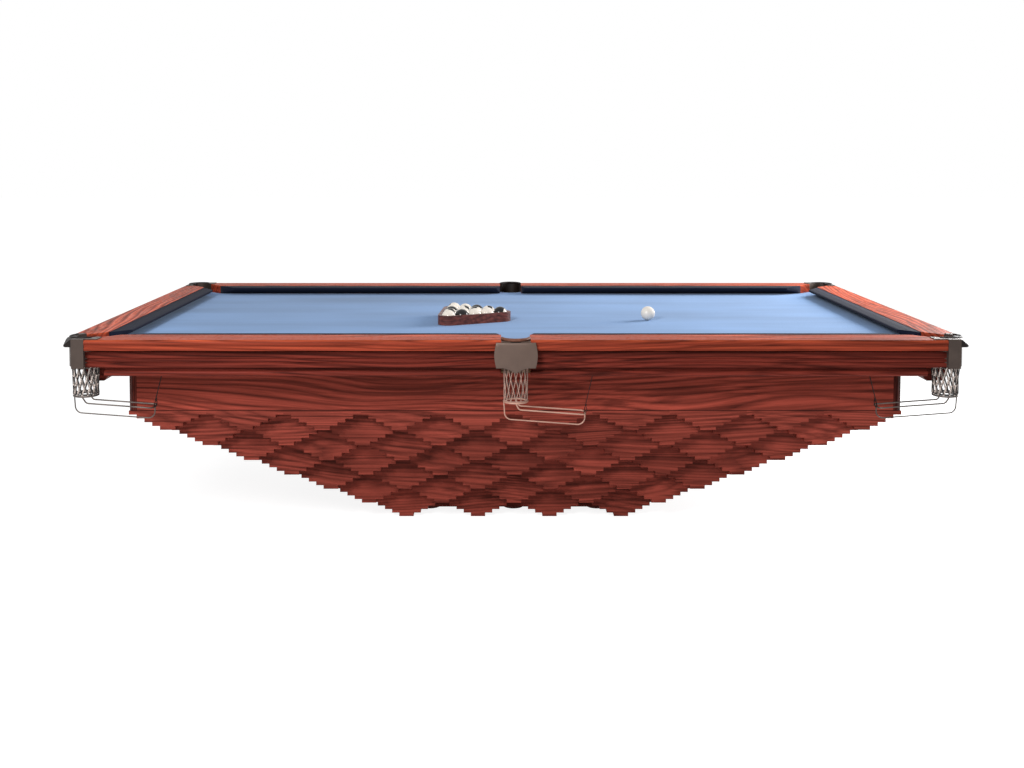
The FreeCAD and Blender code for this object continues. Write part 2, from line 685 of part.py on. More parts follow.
def rod(points, radius, bend):
    """A round rod along straight runs joined by tangent arcs."""
    edges, start = [], points[0]
    for before, corner, after in zip(points, points[1:], points[2:]):
        inward, outward = (before - corner).normalize(), (after - corner).normalize()
        half = inward.getAngle(outward) / 2
        reach = bend / math.tan(half)
        middle = (inward + outward).normalize()
        first, last = corner + inward * reach, corner + outward * reach
        crown = corner + middle * (bend / math.sin(half) - bend)
        edges += [Part.LineSegment(start, first).toShape(), Part.Arc(first, crown, last).toShape()]
        start = last
    edges.append(Part.LineSegment(start, points[-1]).toShape())
    along = points[1] - points[0]
    circle = Part.Wire([Part.Circle(points[0], along, radius).toShape()])
    return Part.Wire(edges).makePipeShell([circle], True, True)


def runner_shape(centre, ring_height):
    """Three rods from the ring under a net to the stop at the runner's far end."""
    reach, half, thick = size("runner_reach"), size("runner_half_width"), size("rod_radius")
    ring, knee = size("ring_radius"), size("side_rod_knee")
    low = ring_height - size("runner_drop")
    side = ring_height - size("side_rod_drop")
    end_low, end_side = low - size("runner_fall"), side - size("side_rod_fall")
    start = size("runner_start")

    def spot(x, y, z):
        return Vector(centre[0] + x, centre[1] + y, z)

    hoop = Part.makeTorus(ring, size("ring_rod_radius"), spot(0, 0, ring_height))
    floor_rod = rod([spot(-ring, 0, ring_height), spot(-start, 0, low),
                     spot(reach, 0, end_low), spot(reach, 0, end_side)],
                    size("floor_rod_radius"), size("floor_bend_radius"))
    near, far = [[spot(0, way * ring, ring_height), spot(knee, way * half, side),
                  spot(reach, way * half, end_side)] for way in (-1, 1)]
    side_rod = rod(near + far[::-1], thick, size("side_bend_radius"))
    return hoop.multiFuse([floor_rod, side_rod])


def runner(name, centre, foot):
    thing = DOC.addObject("Part::Feature", name)
    height = size(foot) - size("fit_gap") - size("ring_rod_radius")
    thing.Shape = runner_shape(centre, height)
    return thing


def strap(name, centre_x, centre_y, foot):
    """A flat strap that holds a runner's far end up to the bed frame."""
    end = "%s + runner_reach" % centre_x
    low = ("%s - fit_gap - ring_rod_radius + rod_radius - side_rod_drop - side_rod_fall"
           % foot)
    points = [("%s - strap_thickness / 2" % end, low), ("%s + strap_thickness / 2" % end, low),
              ("%s + strap_thickness / 2 + strap_lean" % end, "frame_foot"),
              ("%s - strap_thickness / 2 + strap_lean" % end, "frame_foot")]
    return prism(name, "XZ_Plane", points, "strap_width", "0 - (%s) - strap_width / 2" % centre_y)


def build_nets_and_runners():
    corner_left = ("0 - corner_x", "0 - corner_y")
    front_net = net("corner_net", ("corner_x", "0 - corner_y"), "corner_net_foot",
                    "corner_net_radius", "corner_net_length")
    four_quarters("net", front_net)
    both_sides("net_%s_middle", net("middle_net", ("0", "0 - middle_y"), "middle_net_foot",
                                    "middle_net_radius", "middle_net_length"), "y")
    corner = runner("corner_runner", (-size("corner_x"), -size("corner_y")), "corner_net_foot")
    four = {"front_left": corner, "front_right": mirror("corner_runner_right", corner, "x"),
            "back_left": mirror("corner_runner_back", corner, "y")}
    four["back_right"] = mirror("corner_runner_back_right", four["back_left"], "x")
    for place, thing in four.items():
        node("ball_runner_" + place, thing)
    both_sides("ball_runner_%s_middle",
               runner("middle_runner", (0, -size("middle_y")), "middle_net_foot"), "y")
    front = strap("corner_strap", corner_left[0], corner_left[1], "corner_net_foot")
    middle = strap("middle_strap", "0", "0 - middle_y", "middle_net_foot")
    right = mirror("corner_strap_right", front, "x")
    straps = [front, right, middle] + [mirror(thing.Name + "_back", thing, "y")
                                       for thing in (front, right, middle)]
    node("runner_straps", join("Compound", "strap_group", straps))


# ---------------------------------------------------------------- balls and rack

def ball(name, x, y):
    thing = bind(DOC.addObject("Part::Sphere", name), Radius="ball_radius")
    return at(thing, x, y, "ball_height")


def build_balls():
    node("cue_ball", ball("cue_ball_sphere", "cue_ball_x", "cue_ball_y"))
    rows = int(size("rack_rows"))
    balls = []
    for row in range(rows):
        for place in range(row + 1):
            ahead = "ball_pitch * %s * (%d - %d * 2 / 3)" % (math.sqrt(3) / 2, row, rows - 1)
            across = "ball_pitch * (%d / 2 - %d)" % (row, place)
            balls.append(ball("racked_ball_%d" % (len(balls) + 1),
                              "rack_x + (%s) * cos(rack_turn) - (%s) * sin(rack_turn)"
                              % (ahead, across),
                              "rack_y + (%s) * sin(rack_turn) + (%s) * cos(rack_turn)"
                              % (ahead, across)))
    node("racked_balls", join("Compound", "racked_ball_group", balls))


def rounded_triangle(name, radius):
    """A triangle round the racked balls, with round corners, as a solid."""
    shape = bind(DOC.addObject("Part::RegularPolygon", name + "_line"),
                 Circumradius="ball_pitch * (rack_rows - 1) / sqrt(3)")
    shape.Polygon = 3
    offset = DOC.addObject("Part::Offset2D", name + "_offset")
    offset.Source = shape
    bind(offset, Value=radius)
    solid = DOC.addObject("Part::Extrusion", name)
    solid.Base = offset
    solid.Dir = Vector(0, 0, 1)
    solid.Solid = True
    bind(solid, LengthFwd="rack_height")
    return solid


def build_rack():
    inner = "ball_radius + rack_clearance"
    ring = join("Cut", "rack_ring", [rounded_triangle("rack_outside", inner + " + rack_wall"),
                                     rounded_triangle("rack_inside", inner)])
    at(ring, "rack_x", "rack_y", "cloth_top + fit_gap")
    bind(ring, **{"Placement.Rotation.Angle": "rack_turn + 180"})
    node("rack_triangle", ring)


def check_and_export():
    DOC.recompute()
    for thing in DOC.Objects:
        if "Invalid" in thing.State or "Error" in thing.State:
            raise RuntimeError("%s did not build: %s" % (thing.Label, thing.State))
    os.makedirs("parts", exist_ok=True)
    for thing in NODES:
        shape = thing.Shape
        if shape.isNull() or not shape.isValid() or not shape.Solids:
            raise RuntimeError("%s has no valid solid" % thing.Label)
    for thing in NODES:
        thing.Shape.exportStep("parts/%s.step" % thing.Label)
        limits = thing.Shape.BoundBox
        print("%-30s %2d solids  x %8.1f %8.1f  y %8.1f %8.1f  z %6.1f %6.1f" % (
            thing.Label, len(thing.Shape.Solids), limits.XMin, limits.XMax, limits.YMin,
            limits.YMax, limits.ZMin, limits.ZMax))


build_pedestal()
build_base()
build_cabinet()
build_bed_frame()
build_corner_blocks()
build_bed()
build_long_rails()
build_end_rails()
build_cushions()
build_aprons()
build_corner_castings()
build_middle_castings()
build_nets_and_runners()
build_balls()
build_rack()
check_and_export()
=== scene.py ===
"""Dresses the pool table: wood, cloth, castings, nets, cushions, balls and a plain studio."""

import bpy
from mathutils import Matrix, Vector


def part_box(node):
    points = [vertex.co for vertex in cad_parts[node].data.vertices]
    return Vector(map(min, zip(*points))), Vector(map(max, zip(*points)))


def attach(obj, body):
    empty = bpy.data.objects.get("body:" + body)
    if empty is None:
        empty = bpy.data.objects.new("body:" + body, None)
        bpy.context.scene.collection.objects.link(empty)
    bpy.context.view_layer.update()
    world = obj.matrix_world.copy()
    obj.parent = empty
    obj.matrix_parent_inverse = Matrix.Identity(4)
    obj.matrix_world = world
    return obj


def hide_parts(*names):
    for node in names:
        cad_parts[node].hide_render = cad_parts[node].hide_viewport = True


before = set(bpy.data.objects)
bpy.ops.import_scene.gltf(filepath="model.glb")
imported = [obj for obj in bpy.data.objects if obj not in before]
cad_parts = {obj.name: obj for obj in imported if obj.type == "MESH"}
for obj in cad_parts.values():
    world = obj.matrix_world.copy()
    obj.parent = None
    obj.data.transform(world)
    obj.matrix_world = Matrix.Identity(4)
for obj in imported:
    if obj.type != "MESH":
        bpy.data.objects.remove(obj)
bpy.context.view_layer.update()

import math
from functools import reduce

import bmesh
import bpy
from bpy.props import FloatProperty, FloatVectorProperty, IntProperty, PointerProperty
from mathutils import Matrix, Vector, noise

bl_info = {
    "name": "Pool Table Dressing",
    "version": (1, 0, 0),
    "blender": (4, 5, 0),
    "location": "View3D > Sidebar > Pool Table",
    "description": "Gives a pool table its wood, cloth, castings, nets, cushions and balls",
    "category": "Object",
}

QUARTERS = ("front_right", "front_left", "back_right", "back_left")
MIDDLES = ("front_middle", "back_middle")
ENDS = ("right_end", "left_end")
WAYS = {"front": -1, "back": 1, "left": -1, "right": 1}
CORNERS = tuple((side, end) for side in (-1, 1) for end in (-1, 1))

# Places that the dressing shares with the solids, in metres.
CORNER, MIDDLE = Vector((1.521, 0.815)), Vector((0.0, 0.847))
CORNER_HOLE, MIDDLE_HOLE = 0.0543, 0.0513
BALL_PITCH, RACK_TURN = 0.0575, math.radians(56.7)
RACK_CENTRE = Vector((-0.186, -0.144))
BALL_CENTRE_Z, CUE_BALL = 0.7709, Vector((0.552, -0.146))
RUNNER_REACH, RUNNER_SAG, NET_GAP = 0.243, 0.041, 0.0033
# Heights of the rails' painted highlight: from the top's rounded edge up to the flat top, and the
# thin highlight line on the nose.
RAIL_EDGE, RAIL_FLAT, RAIL_BEAD = 0.770, 0.7798, 0.7535
CLOTH_TOP, FRAME_FOOT, CABINET_FOOT = 0.742, 0.648, 0.490
# Height of the painted shade line at the cabinet's foot; then where the painted highlight line on
# the rails' nose starts, where it is full, and how strong it is.
FOOT_SHADE_HEIGHT, BEAD_EDGE, BEAD_CORE, BEAD_HIGHLIGHT = 0.0034, 0.0034, 0.0010, 0.42
PLANK_SCALES = {"Edge": 0.701, "Setback": 0.0539, "Cell": 0.2814, "Cells": 9.0}
BLOCK_SCALES = {"Edge": 1.407, "Setback": 0.1407, "Cell": 0.1078, "Cells": 12.0}

# The studio: what the floor and the world give off, and where the camera stands.
WORLD_LIGHT, FLOOR_GLOW, GLOW_SHARE = 0.42, 1.34, 0.66
CAMERA_PLACE, CAMERA_SHIFT = (-0.0664, -4.998, 1.4406), (0.0148, -0.168)


def display(red, green, blue):
    """A colour given as display values from 0 to 255, made linear."""
    return tuple((c / 255 / 12.92) if c <= 10 else ((c / 255 + 0.055) / 1.055) ** 2.4
                 for c in (red, green, blue))


def colour(name, description, *shade):
    return FloatVectorProperty(name=name, description=description, subtype="COLOR",
                               size=3, min=0, max=1, default=display(*shade))


def length(name, description, default):
    return FloatProperty(name=name, description=description, default=default,
                         unit="LENGTH", subtype="DISTANCE", min=0)


class PoolTableColours(bpy.types.PropertyGroup):
    """Base colours of the finishes."""
    rail: colour("Rail", "Wood of the rails", 160, 66, 46)
    # A painted highlight: the paler colour of the rails' flat tops, where light falls on them.
    rail_top_highlight: colour("Rail top", "Rubbed wood on the rails' tops", 228, 100, 62)
    apron: colour("Apron", "Wood of the aprons and the bead", 128, 51, 40)
    cabinet: colour("Cabinet", "Wood of the cabinet", 174, 76, 61)
    pedestal: colour("Pedestal", "Wood of the stepped pedestal", 158, 71, 58)
    inner: colour("Inside", "Plain wood inside the table", 165, 132, 98)
    rack: colour("Rack", "Wood of the triangle", 128, 68, 58)
    bed: colour("Bed cloth", "Cloth on the bed", 112, 147, 192)
    cushion: colour("Cushion cloth", "Cloth on the cushions", 24, 27, 42)
    metal: colour("Castings", "Metal of the shields", 95, 77, 68)
    # The corner castings' colour is a darker copy of the casting metal: painted shade.
    shaded_corner_metal: colour("Corner castings", "Metal of the corner castings", 74, 62, 56)
    steel: colour("Runners", "Wire of the corner ball runners", 100, 91, 86)
    pale_steel: colour("Middle runners", "Wire of the middle ball runners", 186, 142, 124)
    cord: colour("Net cord", "Cord of the middle nets", 190, 150, 134)
    white_cord: colour("White cord", "Pale cord of the corner nets", 224, 208, 198)
    dark_cord: colour("Dark cord", "Every second cord of a corner net", 24, 19, 18)
    leather: colour("Leather", "Straps, ears and the other lips", 20, 13, 11)
    # The front middle lip's paler brown is a lit copy of the dark lip leather: painted light.
    lip: colour("Brown lip", "Worn leather of the front middle pocket's lip", 100, 62, 48)
    cream: colour("Light balls", "Light resin of the balls", 226, 217, 205)
    black: colour("Dark balls", "Dark resin of the balls", 12, 9, 10)


class PoolTableSizes(bpy.types.PropertyGroup):
    """Sizes of the soft and small pieces."""
    net_strands: IntProperty(name="Net strands", description="Cords that wind each way",
                             default=14, min=4, max=24)
    net_rows: IntProperty(name="Net rows", description="Rows of meshes down the net",
                          default=3, min=2, max=12)
    cord_radius: length("Cord radius", "Radius of a net cord", 0.0013)
    lip_radius: length("Lip radius", "Radius of the leather lip round a corner pocket", 0.0038)
    middle_lip_radius: length("Middle lip radius", "The same at a middle pocket", 0.006)
    nose_mitre: length("Nose mitre", "How far a cushion's nose stops short at a corner", 0.0779)
    middle_mitre: length("Middle mitre", "The same at a middle pocket", 0.014)
    strap_width: length("Strap width", "Width of a runner's strap", 0.008)
    screw_radius: length("Screw radius", "Radius of a screw head", 0.0045)


class PoolTableStage(bpy.types.PropertyGroup):
    """Studio light and camera."""
    key_power: FloatProperty(name="Key", description="Power of the key light", default=135,
                             unit="POWER", min=0)
    fill_power: FloatProperty(name="Fill", description="Power of the fill light", default=198,
                              unit="POWER", min=0)
    lens: FloatProperty(name="Lens", description="Focal length", default=41.9,
                        unit="CAMERA", min=10)
    pitch: FloatProperty(name="Pitch", description="How far the camera looks down",
                         default=math.radians(3), subtype="ANGLE", unit="ROTATION")


# ---- node helpers

def add(tree, kind, inputs=None, **settings):
    """Add a node; its inputs are plain values or sockets of other nodes."""
    item = tree.nodes.new(kind)
    for name, value in settings.items():
        setattr(item, name, value)
    for key, value in (inputs or {}).items():
        if isinstance(value, bpy.types.NodeSocket):
            tree.links.new(value, item.inputs[key])
        else:
            item.inputs[key].default_value = value
    return item


def shaded(tree, kind, inputs=None, out=0, **settings):
    """One output of a new shader node, or of one that all trees share."""
    return add(tree, "ShaderNode" + kind, inputs, **settings).outputs[out]


def shaped(tree, kind, inputs=None, out=0, **settings):
    """One output of a new geometry node."""
    return add(tree, "GeometryNode" + kind, inputs, **settings).outputs[out]


def feed(tree, inputs, **sockets):
    """Link sockets into named inputs."""
    for title, socket in sockets.items():
        tree.links.new(socket, inputs[title.replace("_", " ")])


def follow(kind, inputs, out=0, **settings):
    """One output of a new node in the tree that its inputs come from."""
    tree = next(value.id_data for value in inputs.values()
                if isinstance(value, bpy.types.NodeSocket))
    return shaded(tree, kind, inputs, out, **settings)


def maths(operation, *values):
    """The result of one sum on numbers or sockets."""
    return follow("Math", dict(enumerate(values)), operation=operation)


def vectors(operation, *values):
    """The same on vectors."""
    return follow("VectorMath", dict(enumerate(values)), operation=operation)


def times(*values):
    return reduce(lambda first, second: maths("MULTIPLY", first, second), values)


def plus(*values):
    return reduce(lambda first, second: maths("ADD", first, second), values)


def minus(first, second):
    return maths("SUBTRACT", first, second)


def axes(vector):
    """The three numbers of a vector."""
    return follow("SeparateXYZ", {0: vector}).node.outputs


def clouds(vector, scale, detail=2.0, out="Fac", **more):
    """A noise texture's value or colour."""
    return follow("TexNoise", {"Vector": vector, "Scale": scale, "Detail": detail, **more}, out)


def blend(factor, first, second, mode="MIX"):
    """Two colours, mixed."""
    return follow("Mix", {0: factor, 6: first, 7: second}, 2, data_type="RGBA", blend_type=mode)


def tinted(shade, *levels):
    """A colour multiplied by others."""
    return reduce(lambda tone, level: blend(1.0, tone, level, "MULTIPLY"), levels, shade)


def grey(level):
    return follow("CombineColor", dict.fromkeys(range(3), level))


def ramp(factor, *stops):
    """A value remapped through (place, grey) stops."""
    item = follow("ValToRGB", {0: factor}).node
    marks = item.color_ramp.elements
    while len(marks) < len(stops):
        marks.new(0.5)
    for mark, (place, level) in zip(marks, stops):
        mark.position, mark.color = place, (level, level, level, 1)
    return item.outputs[0]


def opaque(shade):
    return (*shade[:3], 1.0)


def darker(shade, share):
    return (*(channel * share for channel in shade[:3]), 1.0)


def new_group(name, kind, inputs, outputs):
    """A node group, its inputs and outputs. Sockets are given as {type: "Name, Name"}."""
    tree = bpy.data.node_groups.new(name, kind)
    for in_out, sockets in (("INPUT", inputs), ("OUTPUT", outputs)):
        for socket, titles in sockets.items():
            for title in titles.split(", "):
                tree.interface.new_socket(title, in_out=in_out,
                                          socket_type="NodeSocket" + socket)
    return tree, tree.nodes.new("NodeGroupInput").outputs, tree.nodes.new("NodeGroupOutput").inputs


# ---- shared shader effects

def wood_figure():
    """Growth rings and pores of wood whose grain runs along X."""
    tree, given, out = new_group("wood_figure", "ShaderNodeTree", {
        "Vector": "Vector", "Color": "Light, Dark", "Float": "Rings, Wander"},
        {"Color": "Color", "Float": "Height, Dullness"})
    slow = vectors("MULTIPLY", given["Vector"], (0.3, 1.5, 1.5))
    drift = vectors("SUBTRACT", clouds(slow, 1.6, out="Color"), (0.5, 0.5, 0.5))
    push = shaded(tree, "VectorMath", {0: drift, "Scale": given["Wander"]}, operation="SCALE")
    bent = vectors("ADD", given["Vector"], push)
    flat, lengthwise, fine = (vectors("MULTIPLY", bent, (along, across, across))
                              for along, across in ((0.04, 1.0), (1.1, 95.0), (7.0, 260.0)))
    rings = shaded(tree, "TexWave", {
        "Vector": flat, "Scale": given["Rings"], "Distortion": 2.6, "Detail": 3.0,
        "Detail Scale": 1.2}, "Fac", wave_type="RINGS", rings_direction="X", wave_profile="SAW")
    band = ramp(rings, (0.0, 0.0), (0.26, 0.68), (0.66, 1.0), (1.0, 0.2))
    streak = ramp(clouds(lengthwise, 1.0, 4.0), (0.36, 0.42), (0.56, 1.0))
    pore = ramp(clouds(fine, 1.0), (0.36, 0.0), (0.52, 1.0))
    patch = ramp(clouds(slow, 3.2, 3.0), (0.3, 0.72), (0.7, 1.0))
    shade = tinted(blend(band, given["Dark"], given["Light"]), patch, streak)
    lines = times(minus(1.0, pore), 0.35)
    feed(tree, out, Color=blend(lines, shade, given["Dark"]), Height=pore,
         Dullness=minus(1.0, times(pore, band)))
    return tree


def woven_nap():
    """Threads both ways under a soft brushed nap."""
    tree, given, out = new_group("woven_nap", "ShaderNodeTree", {
        "Vector": "Vector", "Color": "Base", "Float": "Streak"},
        {"Color": "Color", "Float": "Height"})
    place = given["Vector"]
    threads = times(*(shaded(tree, "TexWave", {
        "Vector": place, "Scale": 520.0, "Distortion": 0.6, "Detail": 1.0}, "Fac",
        bands_direction=direction) for direction in ("X", "Y")))
    nap = clouds(place, 900.0)
    brushed = clouds(vectors("MULTIPLY", place, (0.8, 4.5, 4.5)), 1.3)
    mottled = plus(minus(brushed, 0.5), minus(clouds(place, 1.1), 0.5))
    level = plus(1.0, times(mottled, given["Streak"], 2.0))
    fuzz = times(level, ramp(nap, (0.25, 0.88), (0.75, 1.0)))
    feed(tree, out, Color=tinted(given["Base"], grey(fuzz)),
         Height=plus(times(threads, 0.5), nap))
    return tree


def aged_surface():
    """Cast or drawn metal with darker hollows and small pits."""
    tree, given, out = new_group("aged_surface", "ShaderNodeTree", {
        "Vector": "Vector", "Color": "Base, Patina", "Float": "Age"},
        {"Color": "Color", "Float": "Height, Dullness"})
    cloud = clouds(given["Vector"], 22.0, 5.0)
    stain = times(ramp(cloud, (0.38, 1.0), (0.64, 0.0)), given["Age"])
    pits = clouds(given["Vector"], 420.0)
    feed(tree, out, Color=blend(stain, given["Base"], given["Patina"]),
         Height=plus(times(cloud, 0.6), pits), Dullness=stain)
    return tree


def handling_marks():
    """Fine scuffs and a little dust, as a mask."""
    tree, given, out = new_group("handling_marks", "ShaderNodeTree",
                                 {"Vector": "Vector", "Float": "Amount"}, {"Float": "Mask"})
    scuffs = ramp(clouds(given["Vector"], 60.0, 6.0, Roughness=0.7),
                  (0.5, 0.0), (0.72, 1.0))
    feed(tree, out, Mask=times(scuffs, given["Amount"]))
    return tree


def scale_marks():
    """A tone and a shift of the figure for each scale of the pedestal."""
    tree, given, out = new_group("scale_marks", "ShaderNodeTree", {
        "Float": "Along, Depth, Edge, Setback, Cell, Cells"}, {"Float": "Tone", "Vector": "Shift"})
    behind = minus(given["Edge"], maths("ABSOLUTE", given["Depth"]))
    tier = maths("FLOOR", plus(0.25, maths("DIVIDE", behind, given["Setback"])))
    start = times(minus(given["Cells"], tier), 0.5)
    cell = plus(maths("DIVIDE", given["Along"], given["Cell"]), start, 0.5)
    spot = shaded(tree, "CombineXYZ", {0: maths("FLOOR", cell), 1: tier,
                                       2: maths("SIGN", given["Depth"])})
    chance = add(tree, "ShaderNodeTexWhiteNoise", {"Vector": spot}).outputs
    feed(tree, out, Tone=maths("MULTIPLY_ADD", chance["Value"], 0.34, 0.8),
         Shift=vectors("SUBTRACT", chance["Color"], (0.5, 0.5, 0.5)))
    return tree


def effect(tree, make, **inputs):
    """Place a shared effect in a material; it is built the first time."""
    group = bpy.data.node_groups.get(make.__name__) or make()
    return add(tree, "ShaderNodeGroup", inputs, node_tree=group).outputs


# ---- finishes

def start_finish(name, **constants):
    """A material with one Principled shader, its constants set on its own sockets."""
    finish = bpy.data.materials.new(name)
    finish.use_nodes = True
    tree = finish.node_tree
    shader = tree.nodes["Principled BSDF"]
    for title, value in constants.items():
        shader.inputs[title.replace("_", " ")].default_value = value
    return finish, tree, shader.inputs


def object_vector(tree, turn=(0, 0, 0), shift=(0, 0, 0)):
    """Object coordinates, turned so that the grain lies along X."""
    return shaded(tree, "Mapping", {"Vector": shaded(tree, "TexCoord", out="Object"),
                                    "Rotation": turn, "Location": shift})


def bump(height, strength, distance):
    return follow("Bump", {"Height": height, "Strength": strength, "Distance": distance})


def scuffed(vector, amount):
    return effect(vector.id_data, handling_marks, Vector=vector, Amount=amount)["Mask"]


def attribute(tree, name):
    return shaded(tree, "Attribute", out="Fac", attribute_name=name)


GRAIN_TURN = {"x": (0, 0, 0), "y": (0, 0, math.pi / 2), "z": (0, math.pi / 2, 0)}


def rubbed_top(tree, shade, top_highlight):
    """A painted highlight: paler colour on the rails' flat tops, where light falls, and along a
    thin line at the nose's bead.
    """
    height = axes(object_vector(tree))[2]
    off = maths("ABSOLUTE", minus(height, RAIL_BEAD))
    # Two masks for the painted highlight: the flat top, and the thin line at the bead.
    surface_tone, bead = (shaded(tree, "MapRange", {"Value": value, "From Min": none, "From Max": full,
                                            "To Max": most})
                  for value, none, full, most in ((height, RAIL_EDGE, RAIL_FLAT, 1.0),
                                                  (off, BEAD_EDGE, BEAD_CORE, BEAD_HIGHLIGHT)))
    return blend(maths("MAXIMUM", surface_tone, bead), opaque(shade), opaque(top_highlight))


def jointed_foot(tree, tone):
    """A tone with a dark line painted along the cabinet's lower edge: painted shade in the joint
    over the pedestal.
    """
    height = axes(object_vector(tree))[2]
    below = maths("LESS_THAN", height, CABINET_FOOT + FOOT_SHADE_HEIGHT)
    return blend(times(below, 0.8), tone, (0.004, 0.002, 0.002, 1))


def wood(name, shade, along, gloss=0.42, shine=0.06, rings=26.0, wander=0.3, contrast=0.42,
         top_highlight=None, scales=None, foot_shade=False):
    """Stained wood: figure, pores and a thin varnish with wear, and a painted highlight on the
    tops where a top colour is given.
    """
    finish, tree, shader = start_finish(name, Specular_IOR_Level=shine)
    vector = object_vector(tree, GRAIN_TURN[along], (0, 0.11, 0.07))
    if scales:
        place = axes(object_vector(tree))
        x_first = along == "x"
        own = effect(tree, scale_marks, Along=place[not x_first], Depth=place[x_first], **scales)
        vector = vectors("ADD", vector, own["Shift"])
    # A painted highlight: paler colour on the flat tops and on the bead line.
    light = rubbed_top(tree, shade, top_highlight) if top_highlight else opaque(shade)
    figure = effect(tree, wood_figure, Vector=vector, Light=light, Dark=darker(shade, contrast),
                    Rings=rings, Wander=wander)
    tone = figure["Color"]
    if scales:
        tone = tinted(tone, grey(own["Tone"]))
    # Painted shade: a dark line along the foot.
    if foot_shade:
        tone = jointed_foot(tree, tone)
    rough = plus(gloss, times(figure["Dullness"], 0.14), scuffed(vector, 0.3))
    feed(tree, shader, Base_Color=tone, Roughness=rough,
         Normal=bump(figure["Height"], 0.25, 0.0004))
    return finish


def cloth(name, shade, streak, sheen=0.12, shine=0.2):
    """Napped wool over a fine weave."""
    finish, tree, shader = start_finish(name, Sheen_Weight=sheen, Sheen_Roughness=0.5,
                                        Roughness=0.92, Specular_IOR_Level=shine)
    woven = effect(tree, woven_nap, Vector=object_vector(tree), Base=opaque(shade),
                   Streak=streak)
    feed(tree, shader, Base_Color=woven["Color"],
         Normal=bump(woven["Height"], 0.35, 0.0003))
    return finish


def metal(name, shade, age, gloss, metallic=0.85, dark_bore=False):
    """Cast or drawn metal, darkened in its hollows; with a dark bore, a casting is near black
    inside its pocket's bore.
    """
    finish, tree, shader = start_finish(name, Metallic=metallic)
    vector = object_vector(tree)
    surface_tone = effect(tree, aged_surface, Vector=vector, Base=opaque(shade),
                  Patina=darker(shade, 0.35), Age=age)
    tone = surface_tone["Color"]
    if dark_bore:
        # Near black inside the pocket's bore.
        along, across = axes(vector)[:2]
        across = minus(maths("ABSOLUTE", across), MIDDLE.y)
        reach = maths("SQRT", plus(*(maths("POWER", part, 2.0) for part in (along, across))))
        tone = blend(maths("LESS_THAN", reach, MIDDLE_HOLE), tone, darker(shade, 0.12))
    feed(tree, shader, Base_Color=tone,
         Roughness=plus(gloss, times(surface_tone["Dullness"], 0.3)),
         Normal=bump(surface_tone["Height"], 0.3, 0.0005))
    return finish


def leather(name, shade):
    """Dark hide with a pebbled grain."""
    finish, tree, shader = start_finish(name, Roughness=0.55, Specular_IOR_Level=0.2)
    vector = object_vector(tree)
    pebbles = shaded(tree, "TexVoronoi", {"Vector": vector, "Scale": 700.0}, "Distance")
    feed(tree, shader, Normal=bump(pebbles, 0.4, 0.0004),
         Base_Color=blend(scuffed(vector, 0.6), opaque(shade), darker(shade, 2.4)))
    return finish


def stone(name):
    finish, tree, shader = start_finish(name, Roughness=0.7)
    surface_tone = effect(tree, aged_surface, Vector=object_vector(tree), Age=0.8,
                  Base=opaque(display(104, 108, 112)), Patina=opaque(display(78, 82, 86)))
    feed(tree, shader, Base_Color=surface_tone["Color"], Normal=bump(surface_tone["Height"], 0.2, 0.0004))
    return finish


def rubber(name):
    finish, tree, shader = start_finish(name, Roughness=0.8)
    feed(tree, shader, Base_Color=blend(scuffed(object_vector(tree), 0.5),
                                        opaque(display(88, 40, 33)),
                                        opaque(display(126, 78, 66))))
    return finish


def twisted_cord(name, shade, second, shaded_inside=False):
    """Cotton cord in two shades, its plies wound round it by the cord's own attributes.

    With its inside shaded, a net takes the second shade on the side that faces the table: painted
    shade on its far half.
    """
    finish, tree, shader = start_finish(name, Roughness=0.85, Sheen_Weight=0.2)
    turns = plus(times(attribute(tree, "cord_along"), 900.0),
                 times(attribute(tree, "cord_around"), 2 * math.pi))
    ply = maths("MULTIPLY_ADD", maths("SINE", turns), 0.5, 0.5)
    vector = object_vector(tree)
    if shaded_inside:
        # Painted shade on the half of the net that faces the table.
        tone = maths("LESS_THAN", maths("ABSOLUTE", axes(vector)[1]), MIDDLE.y)
    else:
        tone = attribute(tree, "cord_tone")
    cord = blend(tone, opaque(shade), opaque(second))
    # Darker between the plies: painted shade in the grooves of the twist.
    wound = tinted(cord, ramp(ply, (0.0, 0.55), (1.0, 1.0)))
    feed(tree, shader, Normal=bump(ply, 0.6, 0.0005),
         Base_Color=blend(scuffed(vector, 0.8), wound, darker(shade, 0.4)))
    return finish


def resin(name, light, dark):
    """Polished resin; the attribute says where a ball is dark."""
    finish, tree, shader = start_finish(name, Specular_IOR_Level=0.35)
    edge = ramp(attribute(tree, "dark_band"), (0.49, 0.0), (0.51, 1.0))
    feed(tree, shader, Base_Color=blend(edge, opaque(light), opaque(dark)),
         Roughness=plus(0.12, scuffed(object_vector(tree), 0.12)))
    return finish


# ---- pieces and meshes

def settings():
    scene = bpy.context.scene
    return scene.pool_table_colours, scene.pool_table_sizes, scene.pool_table_stage


def named(prefix, places):
    return [prefix + place for place in places]


def ways(place):
    """Which side and which end of the table a place is at: -1, 0 or 1."""
    return (WAYS.get(word, 0) for word in place.split("_"))


def pocket_centre(side, end):
    return end * CORNER.x, side * (CORNER.y if end else MIDDLE.y)


def dress(material, *names):
    """Give CAD nodes a finish through their own material slots."""
    for name in names:
        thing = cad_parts[name]
        if not thing.material_slots:
            thing.data.materials.append(material)
        for place in thing.material_slots:
            place.material = material


def linked(name, data):
    """A new object in the scene."""
    thing = bpy.data.objects.new(name, data)
    bpy.context.scene.collection.objects.link(thing)
    return thing


def piece(name, mesh, material, body, slot, *replaced):
    """Link a finished mesh as a piece that rides on a body."""
    thing = linked(name, mesh)
    if not mesh.materials:
        mesh.materials.append(material)
    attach(thing, body)
    if replaced:
        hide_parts(*replaced)
    return thing


